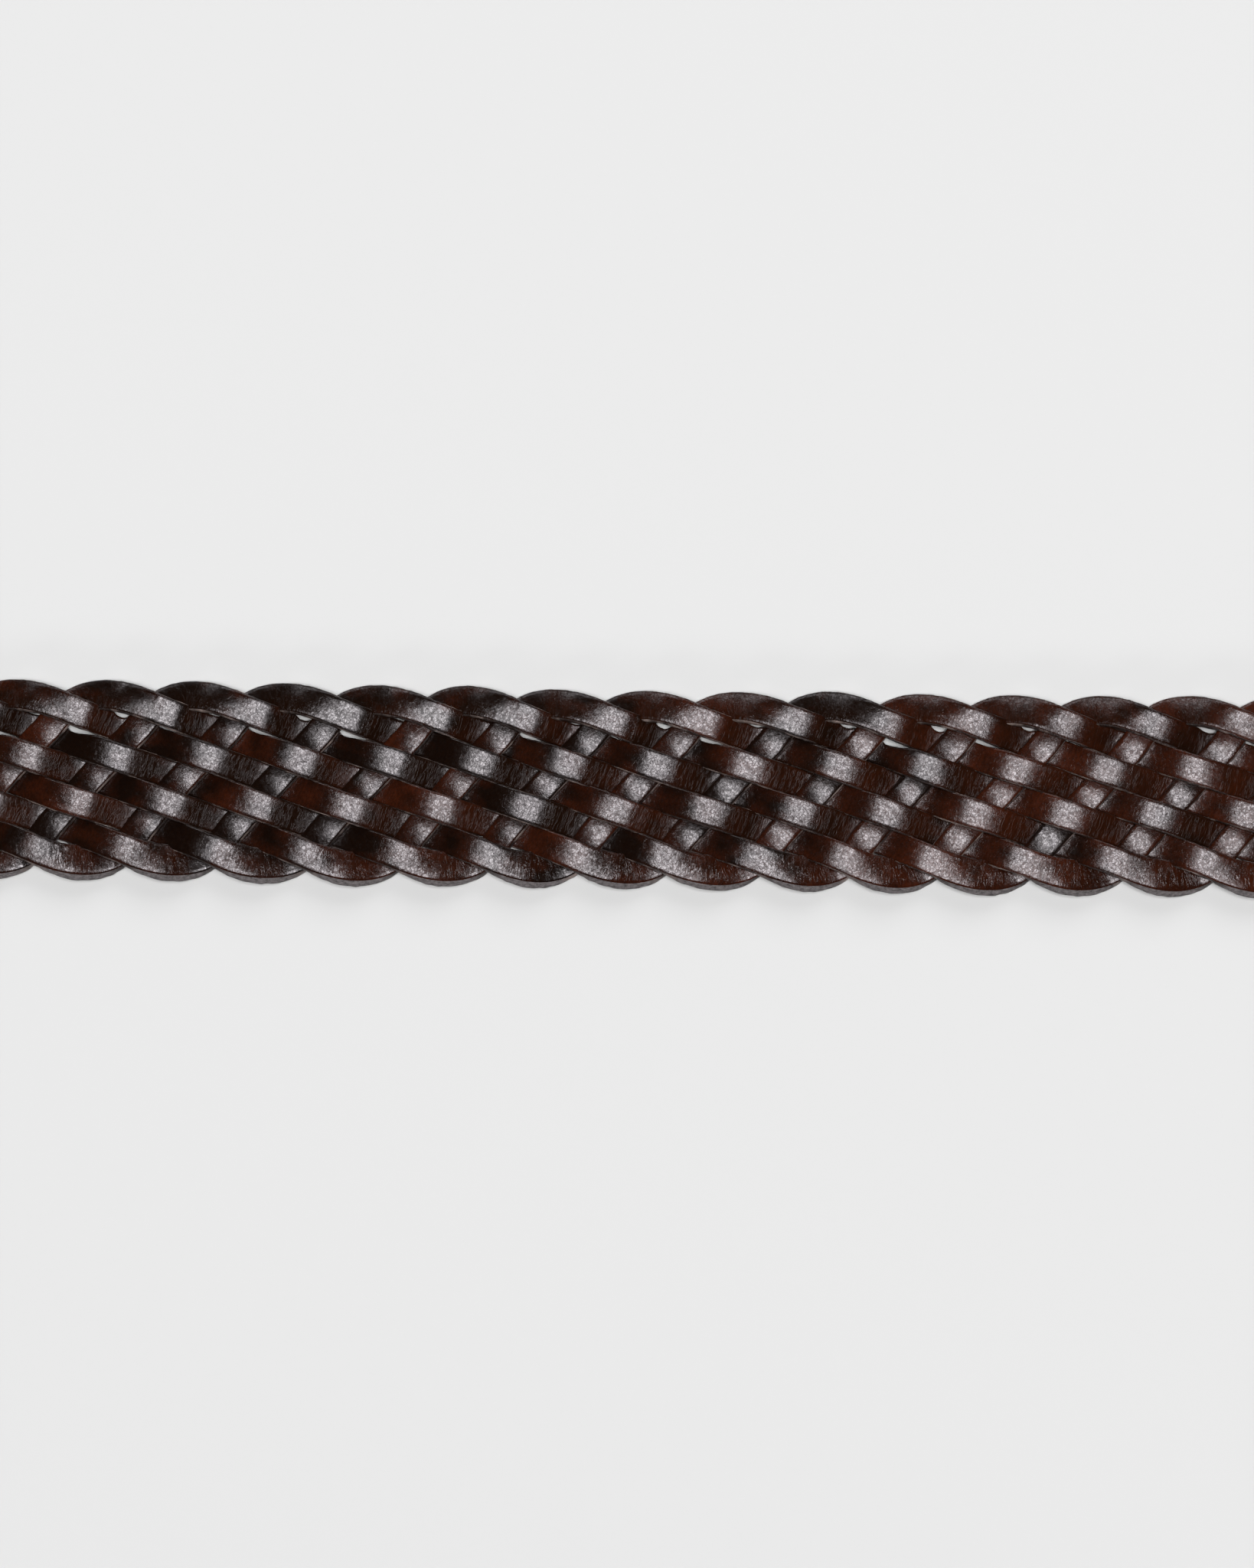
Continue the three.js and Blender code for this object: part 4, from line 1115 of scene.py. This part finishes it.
def place_back_leaf(u, v, w):
    down = np.clip(0.5 - w / TAB_LEATHER, 0, 1)
    z = TAB_LEATHER / 2 + w + down * 2.2 * seam_dent(tip_seam(), u, v)
    return np.stack([BAR.x + u, v, z], 1)


def place_core(u, v, w):
    low, high = TAB_LEATHER + LEAF_GAP / 2, under_front_leaf(u, v) - LEAF_GAP / 2
    return np.stack([BAR.x + u, v, mix(low, high, w + 0.5)], 1)


def add_tip(grain, edge, flesh, packing):
    outline = tip_outline(0)
    add_panel(
        "tip_front_leaf", [outline], TAB_LEATHER, 0.42, 0.8, place_front_leaf, [grain, edge, flesh],
        "tip_front", "strap",
    )
    add_panel(
        "tip_back_leaf", [outline], TAB_LEATHER, 0.42, 0.8, place_back_leaf, [flesh, edge, grain],
        "tip_back", "strap",
    )
    inset = 0.9
    core = tip_outline(inset)
    core = core[core[:, 0] > TAB_BEGIN + 10]
    core = path((CORE_BEGIN, inset - STRAP_HALF), core, (CORE_BEGIN, STRAP_HALF - inset))
    add_panel(
        "tip_packing", [core], 1.0, 0.1, 1.5, place_core, [packing] * 3,
        "tip_filler", "strap",
    )


def add_seams(thread):
    sunk = 0.05  # by which a thread lies in the leather
    middle, half = BAR.z, CHAPE_MIDDLE + CHAPE_LEATHER / 2

    def chape_top(x, y):
        return np.full(len(x), middle + half - sunk)

    def chape_bottom(x, y):
        return np.full(len(x), middle - half + sunk)

    def tip_top(x, y):
        return under_front_leaf(x - BAR.x, y) + TAB_LEATHER - sunk

    def tip_bottom(x, y):
        return np.full(len(x), TAB_GROOVE)

    chape, tip = chape_seam() + [BAR.x, 0], tip_seam() + [BAR.x, 0]
    add_stitches("chape_front_stitches", chape, chape_top, 1, "chape_front_thread", thread)
    add_stitches("chape_back_stitches", chape, chape_bottom, -1, "chape_back_thread", thread)
    add_stitches("tip_front_stitches", tip, tip_top, 1, "tip_front_thread", thread)
    add_stitches("tip_back_stitches", tip, tip_bottom, -1, "tip_back_thread", thread)


packing = packing_leather()
steel = drawn_steel()
tab_materials = [tab_leather(), dyed_edge(), flesh]
add_chape(tab_materials)
add_chape_packing(packing)
add_keeper(tab_materials, steel)
add_tip(*tab_materials, packing)
add_seams(waxed_thread())
add_buckle(antique_brass(), steel)


# ---- Floor, lights and camera, in metres ----

LAMP_HEIGHT = 2.4
# Lamps that face the belt: name, place, size and radiance.
SOFTBOXES = (
    ("overhead_softbox", (0.1, 0.01, LAMP_HEIGHT), (1.1, 1.0), 18.3),
    ("back_softbox", (0, 2.1, 1.3), (2.4, 1.2), 3.4),
    ("front_softbox", (0.2, -2.4, 0.85), (2.6, 0.4), 5.0),
)
LIT_DEPTH = 3.0  # how far from the belt, across it, the front and back lamps still light the floor
FLOOR_HALF = 60.0  # so that the floor reaches the horizon
FLOOR_WHITE = 0.6
FLOOR_SHINE = 0.8  # how bright the floor looks under the lamps
AMBIENT = 0.02  # how bright the surroundings are, high up


def floor_paint():
    """Matt white. A glow that grows with distance makes up for the lamps' light, which fades."""
    n = Nodes("floor_white")
    place = n.add("ShaderNodeTexCoord").outputs["Object"]
    split = n.add("ShaderNodeSeparateXYZ", {0: place})
    along = n.maths("POWER", n.maths("ABSOLUTE", n.maths("DIVIDE", split.outputs["X"], LAMP_HEIGHT)), 2.0)
    across = n.maths("POWER", n.maths("ABSOLUTE", n.maths("DIVIDE", split.outputs["Y"], LIT_DEPTH)), 4.0)
    # By how many times the lamps' light is weaker than at the belt.
    along_fading = n.maths("POWER", n.maths("ADD", along, 1.0), 2.0)
    fading = n.maths("MULTIPLY", along_fading, n.maths("ADD", across, 1.0))
    n.shade("Emission Strength", n.maths("SUBTRACT", FLOOR_SHINE, n.maths("DIVIDE", FLOOR_SHINE, fading)))
    n.shade("Roughness", n.remap(n.noise(place, 60.0), 0.0, 1.0, 0.85, 0.95))
    n.shade("Emission Color", (1, 1, 1, 1))
    n.shade("Base Color", (FLOOR_WHITE, FLOOR_WHITE, FLOOR_WHITE, 1))
    n.shade("Specular IOR Level", 0.1)
    return n.material


def add_floor():
    half = FLOOR_HALF
    points = np.array([(-half, -half, 0), (half, -half, 0), (half, half, 0), (-half, half, 0)])
    floor = add_mesh("floor", points, np.array([[0, 1, 2, 3]]), [floor_paint()])


def add_softbox(name, place, size, radiance):
    """A rectangular lamp at place that faces the belt. Its power follows from its size and radiance."""
    lamp = bpy.data.lights.new(name, "AREA")
    lamp.shape = "RECTANGLE"
    lamp.size, lamp.size_y = size
    lamp.energy = radiance * math.pi * size[0] * size[1]
    obj = bpy.data.objects.new(name, lamp)
    bpy.context.scene.collection.objects.link(obj)
    obj.location = place
    obj.rotation_euler = (-Vector(place)).to_track_quat("-Z", "Y").to_euler()
    obj.visible_camera = False


def add_surroundings():
    """Pale at the horizon, as a studio's walls are, and dark higher up, between the lamps."""
    world = bpy.data.worlds.new("studio")
    world.use_nodes = True
    tree = world.node_tree
    direction = tree.nodes.new("ShaderNodeTexCoord").outputs["Generated"]
    split = tree.nodes.new("ShaderNodeSeparateXYZ")
    fade = tree.nodes.new("ShaderNodeMapRange")
    fade.interpolation_type = "SMOOTHSTEP"
    # Inputs 1 and 2 are a direction's lowest and highest Z, and inputs 3 and 4 the brightness at each.
    for key, value in ((1, 0.02), (2, 0.3), (3, FLOOR_SHINE), (4, AMBIENT)):
        fade.inputs[key].default_value = value
    background = tree.nodes["Background"]
    background.inputs["Color"].default_value = (1, 1, 1, 1)
    tree.links.new(direction, split.inputs[0])
    tree.links.new(split.outputs["Z"], fade.inputs[0])
    tree.links.new(fade.outputs[0], background.inputs["Strength"])
    bpy.context.scene.world = world


VIEW_WIDTH = 206.3 * MM  # the stretch of belt that the picture shows
VIEW_ASPECT = 2048 / 1638
VIEW_CENTRE = (-0.00603, 0.00035)
BELT_SLOPE = math.radians(0.87)  # the belt runs down to the right by this much


def add_camera():
    data = bpy.data.cameras.new("camera")
    data.lens = 100
    data.sensor_width = 36
    height = VIEW_WIDTH * VIEW_ASPECT
    camera = bpy.data.objects.new("camera", data)
    bpy.context.scene.collection.objects.link(camera)
    camera.location = (*VIEW_CENTRE, height * data.lens / data.sensor_width)
    camera.rotation_euler = (0, 0, BELT_SLOPE)
    data.clip_start = 0.01
    data.clip_end = 50
    bpy.context.scene.camera = camera


add_floor()
for softbox in SOFTBOXES:
    add_softbox(*softbox)
add_surroundings()
add_camera()
bpy.context.scene.view_settings.view_transform = "Standard"
